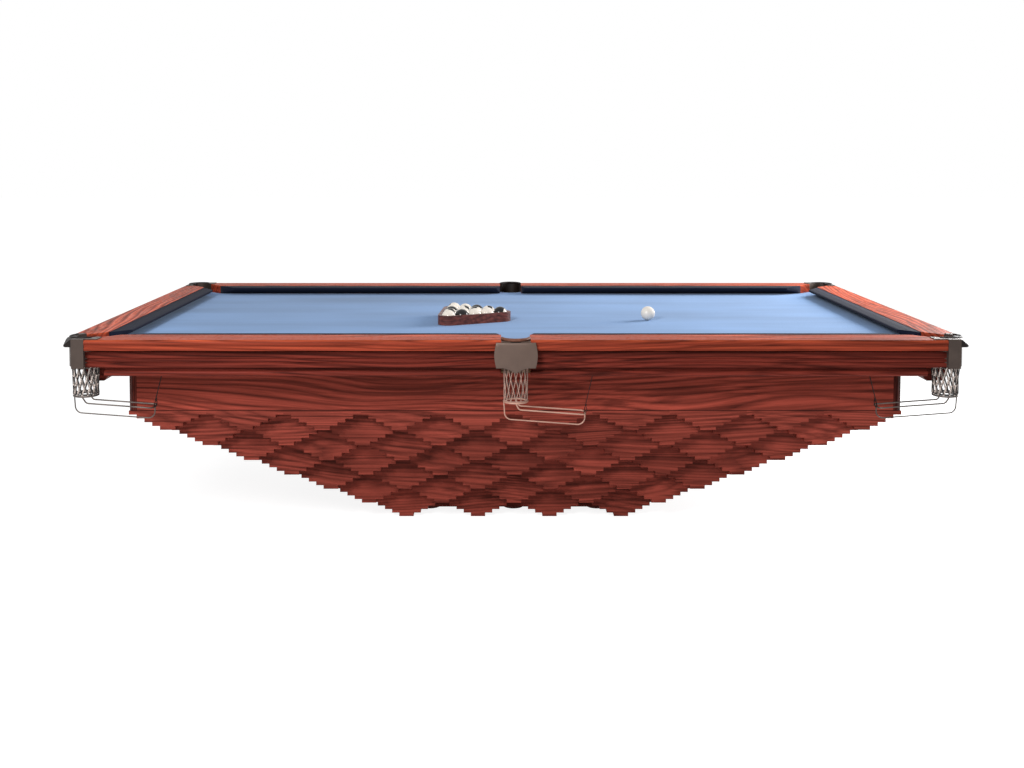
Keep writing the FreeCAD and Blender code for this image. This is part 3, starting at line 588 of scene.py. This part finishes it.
def mesh_of(name, soup, smooth=True):
    """A bmesh made into a mesh, and freed."""
    for face in soup.faces:
        face.smooth = smooth
    mesh = bpy.data.meshes.new(name)
    soup.to_mesh(mesh)
    soup.free()
    return mesh


def lofted(name, stacks, smooth=True):
    """A mesh that skins each stack of rings and caps its ends, facing outwards."""
    soup = bmesh.new()
    for rings in stacks:
        made = [[soup.verts.new(spot) for spot in ring] for ring in rings]
        count = len(made[0])
        for first, second in zip(made, made[1:]):
            for i in range(count):
                j = (i + 1) % count
                soup.faces.new((first[i], first[j], second[j], second[i]))
        soup.faces.new(made[0][::-1])
        soup.faces.new(made[-1])
    bmesh.ops.remove_doubles(soup, verts=soup.verts, dist=1e-6)
    bmesh.ops.recalc_face_normals(soup, faces=soup.faces)
    return mesh_of(name, soup, smooth)


def baked(name, tree, values, material, spots=()):
    """The plain mesh that a Geometry Nodes tree makes from named inputs and points."""
    base = bpy.data.meshes.new(name + "_host")
    base.from_pydata(spots, [], [])
    host = linked(name + "_host", base)
    modifier = host.modifiers.new(name, "NODES")
    modifier.node_group = tree
    names = {item.name: item.identifier for item in tree.interface.items_tree
             if item.item_type == "SOCKET" and item.in_out == "INPUT"}
    for title, value in {**values, "Material": material}.items():
        modifier[names[title]] = value
    graph = bpy.context.evaluated_depsgraph_get()
    mesh = bpy.data.meshes.new_from_object(host.evaluated_get(graph),
                                           preserve_all_data_layers=True, depsgraph=graph)
    host.modifiers.remove(modifier)
    bpy.data.objects.remove(host)
    mesh.name = name
    if not mesh.polygons:
        raise RuntimeError("%s came out empty" % name)
    return mesh


def finish_tree(tree, given, out, geometry, smooth=True):
    """Make instances real and give the geometry its material."""
    geometry = shaped(tree, "RealizeInstances", {"Geometry": geometry})
    if smooth:
        geometry = shaped(tree, "SetShadeSmooth", {"Geometry": geometry})
    feed(tree, out, Geometry=shaped(tree, "SetMaterial", {"Geometry": geometry,
                                                          "Material": given["Material"]}))
    return tree


# ---- operators

class PieceOperator:
    bl_options = {"REGISTER", "UNDO"}


class POOL_OT_wood(PieceOperator, bpy.types.Operator):
    """Finish the rails, aprons, cabinet, pedestal and triangle as stained wood"""
    bl_idname = "pool_table.wood"
    bl_label = "Wood"

    def execute(self, context):
        shades = settings()[0]
        for along, rails in (("x", QUARTERS), ("y", ENDS)):
            # The rails take a painted highlight on their tops and along the bead line.
            dress(wood("rail_wood_" + along, shades.rail, along, gloss=0.34, shine=0.05,
                       contrast=0.58, top_highlight=shades.rail_top_highlight), *named("rail_", rails))
            dress(wood("apron_wood_" + along, shades.apron, along), *named("apron_", rails))
        dress(bpy.data.materials["apron_wood_x"], "frame_corner_blocks")
        # The cabinet's panels and corner posts get a painted shade line along their foot.
        for along, sides in (("x", ("front", "back")), ("y", ("right", "left"))):
            dress(wood("cabinet_wood_" + along, shades.cabinet, along, rings=24.0, wander=0.26,
                       contrast=0.34, foot_shade=True),
                  *("cabinet_%s_panel" % side for side in sides))
        dress(wood("post_wood", darker(shades.cabinet, 0.27), "z", foot_shade=True),
              "cabinet_corner_posts")
        dress(wood("plank_wood", shades.pedestal, "x", rings=28.0, contrast=0.5,
                   scales=PLANK_SCALES), "pedestal_front_planks", "pedestal_back_planks")
        dress(wood("block_wood", shades.pedestal, "y", rings=28.0, contrast=0.5,
                   scales=BLOCK_SCALES), "pedestal_right_blocks", "pedestal_left_blocks")
        dress(wood("inner_wood", shades.inner, "x", gloss=0.6, contrast=0.7),
              "cabinet_floor", "bed_frame", "cross_beams")
        # The base board and webs take a darker copy of the pedestal wood: painted shade where they
        # show through the gaps.
        dress(wood("shaded_base_wood", darker(shades.pedestal, 0.6), "x", gloss=0.6),
              "base_board", "pedestal_webs")
        dress(wood("rack_wood", shades.rack, "x", gloss=0.3, shine=0.3), "rack_triangle")
        return {"FINISHED"}


class POOL_OT_hardware(PieceOperator, bpy.types.Operator):
    """Finish the castings, ball runners, slates and pads"""
    bl_idname = "pool_table.hardware"
    bl_label = "Castings and runners"

    def execute(self, context):
        shades = settings()[0]
        for name, shade, wear, prefix, places in (
                # The middle castings are near black inside their bore.
                ("cast_metal", shades.metal, (0.12, 0.4, 0.5, True), "pocket_casting_", MIDDLES),
                # A darker copy of the casting metal: painted shade on the corner castings.
                ("shaded_corner_metal", shades.shaded_corner_metal, (0.3, 0.4, 0.6), "pocket_casting_",
                 QUARTERS),
                ("runner_wire", shades.steel, (0.5, 0.42), "ball_runner_", QUARTERS),
                ("pale_wire", shades.pale_steel, (0.3, 0.45, 0.1), "ball_runner_", MIDDLES)):
            dress(metal(name, shade, *wear), *named(prefix, places))
        dress(stone("slate_stone"), "slate_left", "slate_middle", "slate_right")
        dress(rubber("pad_rubber"), "base_pads")
        return {"FINISHED"}


# The bed's six pocket bites, anticlockwise from the front left: side, end, way into the table.
BITES = ((-1, -1, 45), (-1, 0, 90), (-1, 1, 135), (1, 1, 225), (1, 0, 270), (1, -1, 315))


def bed_outline(inset=0.0):
    """The bed's edge with its pocket bites."""
    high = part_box("bed_cloth")[1]
    hole, gap = CORNER_HOLE + inset, MIDDLE_HOLE + inset
    corner_half = math.pi / 4 + math.asin((high[0] - CORNER.x - inset) / hole)
    middle_half = math.pi / 2 - math.asin((MIDDLE.y - (high[1] - inset)) / gap)
    points = []
    for side, end, toward in BITES:
        x, y = pocket_centre(side, end)
        radius, half = (hole, corner_half) if end else (gap, middle_half)
        for i in range(19):
            turn = math.radians(toward) + half * (1 - i / 9)
            points.append((x + radius * math.cos(turn), y + radius * math.sin(turn)))
    return points


class POOL_OT_bed_cloth(PieceOperator, bpy.types.Operator):
    """Stretch the cloth over the slates, with its edges turned at the pockets"""
    bl_idname = "pool_table.bed_cloth"
    bl_label = "Bed cloth"

    def execute(self, context):
        shades = settings()[0]
        low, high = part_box("bed_cloth")
        levels = ((0.0, low[2]), (0.0, high[2] - 0.0006), (0.0006, high[2]))
        rings = [[(x, y, level) for x, y in bed_outline(inset)] for inset, level in levels]
        thing = piece("bed_cloth_sheet", lofted("bed_cloth_sheet", [rings], smooth=False),
                      cloth("bed_wool", shades.bed, 0.32), "table", "bed_cloth", "bed_cloth")
        return {"FINISHED"}


# Section of a cushion, in metres: reach from the wood, height over the cloth.
CUSHION_SECTION = ((0.0, 0.0005), (0.020, 0.0083), (0.042, 0.0170), (0.055, 0.0221),
                   (0.0600, 0.0248), (0.0618, 0.0275), (0.0620, 0.0300), (0.0612, 0.0325),
                   (0.0590, 0.0340), (0.050, 0.0347), (0.030, 0.0355), (0.0, 0.0368))
CUSHION_REACH, CUSHION_CORE = 0.0620, Vector((0.028, 0.021))
# Its folded end: how far in from the end, and how much of the section.
CUSHION_FOLDS = ((0.0, 0.90), (0.0014, 0.955), (0.004, 0.988), (0.009, 1.0))


class POOL_OT_cushions(PieceOperator, bpy.types.Operator):
    """Cloth-covered rubber cushions with a round nose and folded ends"""
    bl_idname = "pool_table.cushions"
    bl_label = "Cushions"

    def execute(self, context):
        shades, sizes = settings()[:2]
        finish = cloth("cushion_wool", shades.cushion, 0.1, sheen=0.03, shine=0.08)
        for place in QUARTERS + ENDS:
            node = "cushion_" + place
            mesh = lofted(node + "_pad", [self.rings(place, sizes)])
            piece(node + "_pad", mesh, finish, "table", "cushion_cloth", node)
        return {"FINISHED"}

    @staticmethod
    def rings(place, sizes):
        low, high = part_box("cushion_" + place)
        first, second = place.split("_")
        long = place in QUARTERS
        near, far = sorted((abs(low[0]), abs(high[0]))) if long else (low[1], high[1])
        wood_line = max(abs(low[int(long)]), abs(high[int(long)]))
        near_mitre = sizes.middle_mitre if long else sizes.nose_mitre
        stations = [(0, inset, swell) for inset, swell in CUSHION_FOLDS]
        stations += [(i / 40, 0.0, 1.0) for i in range(1, 40)]
        stations += [(1, -inset, swell) for inset, swell in CUSHION_FOLDS[::-1]]
        rings = []
        for share, inset, swell in stations:
            ring = []
            for out, height in CUSHION_SECTION:
                start = near + near_mitre * out / CUSHION_REACH
                stop = far - sizes.nose_mitre * out / CUSHION_REACH
                along = start + (stop - start) * share + inset
                spot = CUSHION_CORE + (Vector((out, height)) - CUSHION_CORE) * swell
                ripple = 0.00025 * noise.noise(Vector((along * 9, out * 30, wood_line)))
                across, level = wood_line - spot.x, CLOTH_TOP + spot.y + ripple * (out > 0.01)
                ring.append((along * WAYS[second], across * WAYS[first], level) if long else
                            (across * WAYS[first], along, level))
            rings.append(ring)
        return rings


def wall_point(tree, given, turn, down, lift):
    """A place on the net's wall: its turn, how far down it is and how far it stands off."""
    taper = times(minus(given["Foot Radius"], given["Top Radius"]), down)
    waist = times(given["Waist"], maths("SINE", times(down, math.pi)))
    radius = plus(minus(plus(given["Top Radius"], taper), waist), lift)
    spot = shaded(tree, "CombineXYZ", {
        0: times(radius, maths("COSINE", turn)),
        1: times(radius, maths("SINE", turn)),
        2: times(given["Height"], down, -1.0)})
    return vectors("ADD", spot, given["Centre"])


def stored(tree, geometry, name, value):
    """Geometry whose points keep a number."""
    return shaped(tree, "StoreNamedAttribute", {"Geometry": geometry, "Name": name,
                                                "Value": value},
                  data_type="FLOAT", domain="POINT")


def corded(tree, line, along, radius, sides=6, tone=0.0):
    """A round cord along a line, with attributes that say where on the cord a point is."""
    marked = stored(tree, stored(tree, line, "cord_along", along), "cord_tone", tone)
    circle = shaped(tree, "CurvePrimitiveCircle", {"Resolution": sides, "Radius": radius})
    around = shaped(tree, "SplineParameter", out="Factor")
    return shaped(tree, "CurveToMesh", {
        "Curve": marked, "Profile Curve": stored(tree, circle, "cord_around", around),
        "Fill Caps": True})


def net_tree():
    """Cords that wind both ways down a tapered wall, knotted where they cross."""
    tree, given, out = new_group("knotted_net", "GeometryNodeTree", {
        "Vector": "Centre", "Float": "Top Radius, Foot Radius, Waist, Height, Cord, Rim",
        "Int": "Strands, Rows", "Material": "Material"}, {"Geometry": "Geometry"})
    strands, rows, cord = given["Strands"], given["Rows"], given["Cord"]
    line = shaped(tree, "CurvePrimitiveLine", {"End": (0, 0, 1)})
    fine = shaped(tree, "ResampleCurve", {"Curve": line, "Count": 31})
    copies = add(tree, "GeometryNodeDuplicateElements", {
        "Geometry": fine, "Amount": times(strands, 2.0)}, domain="SPLINE").outputs
    down = shaped(tree, "SplineParameter", out="Factor")
    number = copies["Duplicate Index"]
    odd = maths("MODULO", number, 2.0)
    way = maths("MULTIPLY_ADD", odd, 2.0, -1.0)
    step = maths("DIVIDE", math.pi, strands)
    start = times(maths("FLOOR", maths("DIVIDE", number, 2.0)), step, 2.0)
    turn = plus(start, times(down, rows, step, way))
    wound = shaped(tree, "SetPosition", {
        "Geometry": copies["Geometry"],
        "Position": wall_point(tree, given, turn, down, times(way, cord, 0.5))})
    cords = corded(tree, wound, times(down, given["Height"]), cord, tone=odd)

    index = shaped(tree, "InputIndex")
    row = maths("FLOOR", maths("DIVIDE", index, strands))
    place = maths("MODULO", index, strands)
    turn = times(maths("MULTIPLY_ADD", place, 2.0, row), step)
    points = shaped(tree, "Points", {
        "Count": times(strands, plus(rows, 1.0)),
        "Position": wall_point(tree, given, turn, maths("DIVIDE", row, rows), 0.0)})
    knot = shaped(tree, "MeshIcoSphere", {"Radius": times(cord, 1.5), "Subdivisions": 2})
    knots = shaped(tree, "InstanceOnPoints", {"Points": points, "Instance": knot})

    parts = [cords, knots]
    for radius, drop in (("Top Radius", 0.0), ("Foot Radius", 1.0)):
        ring = shaped(tree, "CurvePrimitiveCircle", {"Resolution": 56, "Radius": given[radius]})
        low = shaded(tree, "CombineXYZ", {2: times(given["Height"], -drop)})
        moved = shaped(tree, "SetPosition", {
            "Geometry": ring, "Offset": vectors("ADD", low, given["Centre"])})
        parts.append(corded(tree, moved, times(down, 0.28), given["Rim"], 8, tone=1.0))
    joined = add(tree, "GeometryNodeJoinGeometry")
    for part in parts:
        tree.links.new(part, joined.inputs[0])
    return finish_tree(tree, given, out, joined.outputs[0])


class POOL_OT_nets(PieceOperator, bpy.types.Operator):
    """Knot six nets from twisted cotton cord"""
    bl_idname = "pool_table.nets"
    bl_label = "Nets"

    def execute(self, context):
        shades, sizes = settings()[:2]
        tree = net_tree()
        # The middle nets' darker second shade is painted shade on their far half.
        pale = twisted_cord("net_cotton", shades.cord, darker(shades.cord, 0.22), shaded_inside=True)
        mixed = twisted_cord("net_two_tone", shades.white_cord, shades.dark_cord)
        for place in QUARTERS + MIDDLES:
            low, high = (Vector(corner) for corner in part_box("net_" + place))
            finish, swell = (pale, 1.0) if place in MIDDLES else (mixed, 2.0)
            cord = sizes.cord_radius * swell
            top, rim = (high.x - low.x) / 2 - 2 * cord, 1.2 * cord
            mesh = baked("net_cords_" + place, tree, {
                "Centre": ((low.x + high.x) / 2, (low.y + high.y) / 2, high.z - rim),
                "Top Radius": top, "Foot Radius": top - 0.003, "Waist": 0.002,
                "Height": high.z - low.z - 2 * rim, "Strands": sizes.net_strands,
                "Rows": sizes.net_rows, "Cord": cord, "Rim": rim}, finish)
            piece("net_cords_" + place, mesh, finish, "table", "net_cord", "net_" + place)
        return {"FINISHED"}


def lip_tree():
    """A round bead that follows an arc."""
    tree, given, out = new_group("pocket_lip", "GeometryNodeTree", {
        "Vector": "Centre", "Float": "Radius, Start, Sweep, Bead", "Material": "Material"},
        {"Geometry": "Geometry"})
    arc = shaped(tree, "CurveArc", {
        "Resolution": 40, "Radius": given["Radius"], "Start Angle": given["Start"],
        "Sweep Angle": given["Sweep"]})
    moved = shaped(tree, "SetPosition", {"Geometry": arc, "Offset": given["Centre"]})
    along = shaped(tree, "SplineParameter", out="Length")
    return finish_tree(tree, given, out, corded(tree, moved, along, given["Bead"], 10))


# The ears stand for the end rails' nose ends beside the corner castings; their dark leather is
# painted shade over those ends.
# Sections of a corner's ear, in metres: reach from the casting, drop below its top.
EAR_FRONT = ((0.0, 0.0005), (0.009, 0.004), (0.027, 0.018), (0.0305, 0.0225),
             (0.0300, 0.0265), (0.026, 0.0285), (0.0, 0.0285))
EAR_BACK = ((0.0, -0.0005), (0.026, -0.0005), (0.0395, 0.006), (0.0445, 0.012),
            (0.0445, 0.0265), (0.041, 0.0285), (0.0, 0.0285))
# Where they stand: place across the table, share of the reach, section.
EAR_STATIONS = ((0.889, 0.9, EAR_FRONT), (0.884, 1.0, EAR_FRONT), (0.818, 1.0, EAR_BACK),
                (0.812, 0.98, EAR_BACK))
CASTING_SIDE = 1.544
# Radius of a lip, and half its sweep.
CORNER_LIP, MIDDLE_LIP = (0.050, math.radians(88)), (0.0475, math.radians(84))


class POOL_OT_lips(PieceOperator, bpy.types.Operator):
    """Leather lips round the pockets' mouths, and ears at the corners"""
    bl_idname = "pool_table.lips"
    bl_label = "Pocket lips"

    def execute(self, context):
        shades, sizes = settings()[:2]
        tree = lip_tree()
        dark = leather("lip_leather", shades.leather)
        lit_lip_leather = leather("lit_brown_leather", shades.lip)
        for place in QUARTERS + MIDDLES:
            side, end = ways(place)
            bead = sizes.lip_radius if end else sizes.middle_lip_radius
            raised = 0.0 if end else bead - 0.001
            reach, half = CORNER_LIP if end else MIDDLE_LIP
            # The front middle lip takes the paler copy, a painted light; the other lips take the
            # dark leather.
            hide = lit_lip_leather if place == "front_middle" else dark
            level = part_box("pocket_casting_" + place)[1][2] + raised
            mesh = baked("pocket_lip_" + place, tree, {
                "Centre": (*pocket_centre(side, end), level),
                "Radius": reach, "Start": math.atan2(side, end) - half, "Sweep": 2 * half,
                "Bead": bead}, hide)
            piece("pocket_lip_" + place, mesh, hide, "table", "strap_leather")
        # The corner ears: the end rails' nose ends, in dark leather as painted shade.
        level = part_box("pocket_casting_front_right")[1][2]
        ears = [[[(end * (CASTING_SIDE + out * reach), side * across, level - drop)
                  for out, drop in section] for across, reach, section in EAR_STATIONS]
                for side, end in CORNERS]
        piece("corner_ears", lofted("corner_ears", ears, smooth=False), dark, "table",
              "strap_leather")
        return {"FINISHED"}


def screw_tree():
    """A low domed screw head with a slot, at each point."""
    tree, given, out = new_group("slotted_screw", "GeometryNodeTree", {
        "Geometry": "Geometry", "Float": "Radius", "Material": "Material"},
        {"Geometry": "Geometry"})
    radius = given["Radius"]
    head = shaped(tree, "MeshCone", {"Vertices": 20, "Radius Top": times(radius, 0.7),
                                     "Radius Bottom": radius, "Depth": 0.0014})
    bar = shaded(tree, "CombineXYZ", {0: times(radius, 2.4), 1: 0.0009, 2: 0.0012})
    cutter = shaped(tree, "Transform", {"Geometry": shaped(tree, "MeshCube", {"Size": bar}),
                                        "Translation": (0, 0, 0.0014)})
    slotted = shaped(tree, "MeshBoolean", {"Mesh 1": head, "Mesh 2": cutter},
                     operation="DIFFERENCE")
    heads = shaped(tree, "InstanceOnPoints", {"Points": given["Geometry"], "Instance": slotted})
    return finish_tree(tree, given, out, heads, smooth=False)


# A right front screw's and a right end screw's place on a corner casting's arms.
SCREWS = ((1.4665, 0.851), (1.557, 0.7605))


class POOL_OT_screws(PieceOperator, bpy.types.Operator):
    """Slotted screws that hold the castings' arms to the rails"""
    bl_idname = "pool_table.screws"
    bl_label = "Screws"

    def execute(self, context):
        shades, sizes = settings()[:2]
        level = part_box("pocket_casting_front_right")[1][2]
        spots = [(end * x, side * y, level) for side, end in CORNERS for x, y in SCREWS]
        finish = metal("screw_steel", darker(shades.steel, 1.3), 0.4, 0.3, 1.0)
        mesh = baked("casting_screws", screw_tree(), {"Radius": sizes.screw_radius}, finish,
                     spots)
        piece("casting_screws", mesh, finish, "table", "runner_steel")
        return {"FINISHED"}


# Right half of a shield's outline, and its layers: share of the outline, rise of the front.
SHIELD_HALF = ((0.0, 0.6645), (0.006, 0.6672), (0.013, 0.6725), (0.025, 0.6785),
               (0.041, 0.6830), (0.0685, 0.6838), (0.0718, 0.696), (0.0745, 0.712),
               (0.0757, 0.7275), (0.0745, 0.743), (0.0716, 0.759), (0.0682, 0.7716),
               (0.035, 0.7717), (0.0, 0.7717))
SHIELD_MIDDLE = Vector((0.0, 0.727))
SHIELD_LAYERS = ((1.0, -0.002), (1.0, 0.0006), (0.985, 0.0014), (0.8, 0.0026), (0.55, 0.0040),
                 (0.25, 0.0049))


class POOL_OT_shields(PieceOperator, bpy.types.Operator):
    """Crowned fronts of the middle pockets' shields"""
    bl_idname = "pool_table.shields"
    bl_label = "Shields"

    def execute(self, context):
        finish = bpy.data.materials["cast_metal"]
        for place, side in zip(MIDDLES, (-1, 1)):
            face = abs(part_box("pocket_casting_" + place)[0 if side < 0 else 1][1])
            mesh = lofted("shield_front_" + place, [self.rings(face, side)])
            piece("shield_front_" + place, mesh, finish, "table", "pocket_metal")
        return {"FINISHED"}

    @staticmethod
    def rings(face, side):
        """Outlines of the shield, each smaller and further out, to a crowned front."""
        outline = SHIELD_HALF + tuple((-x, z) for x, z in SHIELD_HALF[-2:0:-1])
        rings = []
        for size, rise in SHIELD_LAYERS:
            ring = []
            for x, z in outline:
                spot = SHIELD_MIDDLE + (Vector((x, z)) - SHIELD_MIDDLE) * size
                crown = max(0.0, rise) * (1 - (spot.x / 0.09) ** 2) + min(0.0, rise)
                ring.append((spot.x, side * (face + crown), spot.y))
            rings.append(ring)
        return rings


# Section of a strap: across it in half widths, off its face in thicknesses.
STRAP_SECTION = ((-1, -0.5), (-0.85, -1), (0.85, -1), (1, -0.5), (1, 0.5), (0.85, 1),
                 (-0.85, 1), (-1, 0.5))
STRAP_WRAP, STRAP_THICKNESS, STRAP_LEAN = 0.0036, 0.0009, 0.030


class POOL_OT_straps(PieceOperator, bpy.types.Operator):
    """Leather straps looped round the runners' far ends"""
    bl_idname = "pool_table.straps"
    bl_label = "Straps"

    def execute(self, context):
        shades, sizes = settings()[:2]
        stacks = []
        for place in QUARTERS + MIDDLES:
            side, end = ways(place)
            way = -end if end else 1
            x, y = pocket_centre(side, end)
            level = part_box("net_" + place)[0][2] - NET_GAP - RUNNER_SAG
            stacks.append(self.rings(x + way * RUNNER_REACH, y, way, level, sizes.strap_width))
        piece("runner_straps_leather", lofted("runner_straps_leather", stacks, smooth=False),
              leather("strap_leather", shades.leather), "table", "strap_leather",
              "runner_straps")
        return {"FINISHED"}

    @staticmethod
    def rings(end_x, centre_y, way, level, width):
        """Down from the frame, round the end bar and back up the strap."""
        reach = Vector((STRAP_LEAN, FRAME_FOOT - level))
        lean = reach.normalized()
        out = Vector((lean.y, -lean.x))
        line = [spot - out * STRAP_WRAP for spot in (reach, lean * 0.08, lean * 0.03,
                                                     lean * 0.008)]
        start = math.atan2(-out.y, -out.x)
        line += [STRAP_WRAP * Vector((math.cos(start + math.pi * i / 10),
                                      math.sin(start + math.pi * i / 10))) for i in range(11)]
        line += [lean * rise + out * STRAP_WRAP for rise in (0.008, 0.016)]
        line += [lean * rise - out * (STRAP_WRAP - 0.0024) for rise in (0.024, 0.030)]
        rings = []
        for i, spot in enumerate(line):
            ahead = (line[min(i + 1, len(line) - 1)] - line[max(i - 1, 0)]).normalized()
            side = Vector((-ahead.y, ahead.x)) * STRAP_THICKNESS
            half = width / 2 * (0.7 if i == len(line) - 1 else 1.0)
            ring = []
            for across, off in STRAP_SECTION:
                flat = spot + side * off
                ring.append((end_x + way * flat.x, centre_y + half * across,
                             min(level + flat.y, FRAME_FOOT - 0.0001)))
            rings.append(ring)
        return rings


# How each racked ball is coloured, row by row: light, dark, banded or widely banded.
RACK_ORDER = ("L", "BD", "DLL", "LBBL", "BLDBW")
BAND_WIDTH = {"L": -1.0, "D": 2.0, "B": 0.34, "W": 0.74}


class POOL_OT_balls(PieceOperator, bpy.types.Operator):
    """Polished balls: light, dark and banded ones in the triangle, and the cue ball"""
    bl_idname = "pool_table.balls"
    bl_label = "Balls"

    def execute(self, context):
        shades = settings()[0]
        finish = resin("ball_resin", shades.cream, shades.black)
        racked = []
        for row, kinds in enumerate(RACK_ORDER):
            for place, kind in enumerate(kinds):
                ahead = BALL_PITCH * math.sqrt(3) / 2 * (row - 8 / 3)
                across = BALL_PITCH * (row / 2 - place)
                spot = RACK_CENTRE + Matrix.Rotation(RACK_TURN, 2) @ Vector((ahead, across))
                racked.append((spot, kind, row * 5 + place))
        self.balls("racked_balls", racked, finish)
        self.balls("cue_ball", [(CUE_BALL, "L", 99)], finish)
        return {"FINISHED"}

    @staticmethod
    def balls(body, spots, finish):
        soup = bmesh.new()
        layer = soup.verts.layers.float.new("dark_band")
        low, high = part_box("cue_ball")
        for spot, kind, seed in spots:
            centre = Vector((*spot, BALL_CENTRE_Z))
            made = bmesh.ops.create_uvsphere(soup, u_segments=44, v_segments=26,
                                             radius=(high[0] - low[0]) / 2,
                                             matrix=Matrix.Translation(centre))
            axis = Vector((1, -0.35, 0.1)) if kind == "W" else Vector(
                (math.sin(seed * 2.3), math.cos(seed * 1.7), 0.35 + 0.5 * math.sin(seed)))
            for vert in made["verts"]:
                off = abs((vert.co - centre).normalized().dot(axis.normalized()))
                vert[layer] = min(1.0, max(0.0, 0.5 + BAND_WIDTH[kind] - off))
        name = body + "_resin"
        piece(name, mesh_of(name, soup), finish, body, "ball_resin", body)


class POOL_OT_stage(PieceOperator, bpy.types.Operator):
    """Set up a plain pale floor, soft studio light and the camera"""
    bl_idname = "pool_table.stage"
    bl_label = "Stage"

    def execute(self, context):
        stage = settings()[2]
        self.floor()
        self.world()
        self.lamp("key_light", (2.95, 1.0, 1.7), 1.8, stage.key_power)
        self.lamp("fill_light", (-2.0, -4.4, 3.2), 1.6, stage.fill_power)
        camera = bpy.data.cameras.new("camera")
        camera.lens, camera.sensor_width = stage.lens, 36.0
        camera.shift_x, camera.shift_y = CAMERA_SHIFT
        holder = linked("camera", camera)
        holder.location = CAMERA_PLACE
        holder.rotation_euler = (math.pi / 2 - stage.pitch, 0, 0)
        scene = bpy.context.scene
        scene.camera = holder
        scene.view_settings.view_transform = "Standard"
        return {"FINISHED"}

    @staticmethod
    def backdrop(tree, lit, glow, share, output):
        """Let a share of the glow show where the eye, a reflection or glass looks at it."""
        path = add(tree, "ShaderNodeLightPath").outputs
        either = maths("MAXIMUM", path["Is Camera Ray"], path["Is Glossy Ray"])
        seen = maths("MAXIMUM", either, path["Is Transmission Ray"])
        feed(tree, tree.nodes[output].inputs,
             Surface=shaded(tree, "MixShader", {0: times(seen, share),
                                                1: lit.outputs[0], 2: glow}))

    def floor(self):
        finish = start_finish("floor_paper", Base_Color=(0.9, 0.9, 0.9, 1), Roughness=0.9)[0]
        tree = finish.node_tree
        glow = shaded(tree, "Emission", {"Color": (1, 1, 1, 1), "Strength": FLOOR_GLOW})
        self.backdrop(tree, tree.nodes["Principled BSDF"], glow, GLOW_SHARE, "Material Output")
        soup = bmesh.new()
        bmesh.ops.create_grid(soup, x_segments=2, y_segments=2, size=30)
        ground = linked("floor", mesh_of("floor", soup))
        ground.data.materials.append(finish)

    def world(self):
        world = bpy.data.worlds.new("studio")
        world.use_nodes = True
        bpy.context.scene.world = world
        tree = world.node_tree
        lit = tree.nodes["Background"]
        lit.inputs["Color"].default_value = (0.95, 0.97, 1.0, 1)
        lit.inputs["Strength"].default_value = WORLD_LIGHT
        white = shaded(tree, "Background", {"Color": (1, 1, 1, 1), "Strength": 1.0})
        self.backdrop(tree, lit, white, 1.0, "World Output")

    @staticmethod
    def lamp(name, place, size, power):
        light = bpy.data.lights.new(name, "AREA")
        light.shape, light.size, light.energy = "DISK", size, power
        holder = linked(name, light)
        holder.location = place
        aim = Vector((0, 0, 0.6)) - Vector(place)
        holder.rotation_euler = aim.to_track_quat("-Z", "Y").to_euler()


STEPS = (POOL_OT_wood, POOL_OT_hardware, POOL_OT_bed_cloth, POOL_OT_cushions, POOL_OT_nets,
         POOL_OT_lips, POOL_OT_shields, POOL_OT_screws, POOL_OT_straps, POOL_OT_balls,
         POOL_OT_stage)


class POOL_PT_panel(bpy.types.Panel):
    """Lists the pieces in the sidebar"""
    bl_idname = "POOL_PT_panel"
    bl_label = "Pool Table"
    bl_space_type = "VIEW_3D"
    bl_region_type = "UI"
    bl_category = "Pool Table"

    def draw(self, context):
        for step in STEPS:
            self.layout.operator(step.bl_idname)
        for group in settings():
            for name in group.bl_rna.properties.keys():
                if name not in ("rna_type", "name"):
                    self.layout.prop(group, name)


GROUPS = {"pool_table_colours": PoolTableColours, "pool_table_sizes": PoolTableSizes,
          "pool_table_stage": PoolTableStage}


def register():
    for name, group in GROUPS.items():
        bpy.utils.register_class(group)
        setattr(bpy.types.Scene, name, PointerProperty(type=group))
    for item in STEPS + (POOL_PT_panel,):
        bpy.utils.register_class(item)


def unregister():
    for item in (POOL_PT_panel,) + STEPS[::-1]:
        bpy.utils.unregister_class(item)
    for name, group in GROUPS.items():
        delattr(bpy.types.Scene, name)
        bpy.utils.unregister_class(group)


def main():
    register()
    for step in STEPS:
        family, action = step.bl_idname.split(".")
        getattr(getattr(bpy.ops, family), action)()


if __name__ == "__main__":
    main()
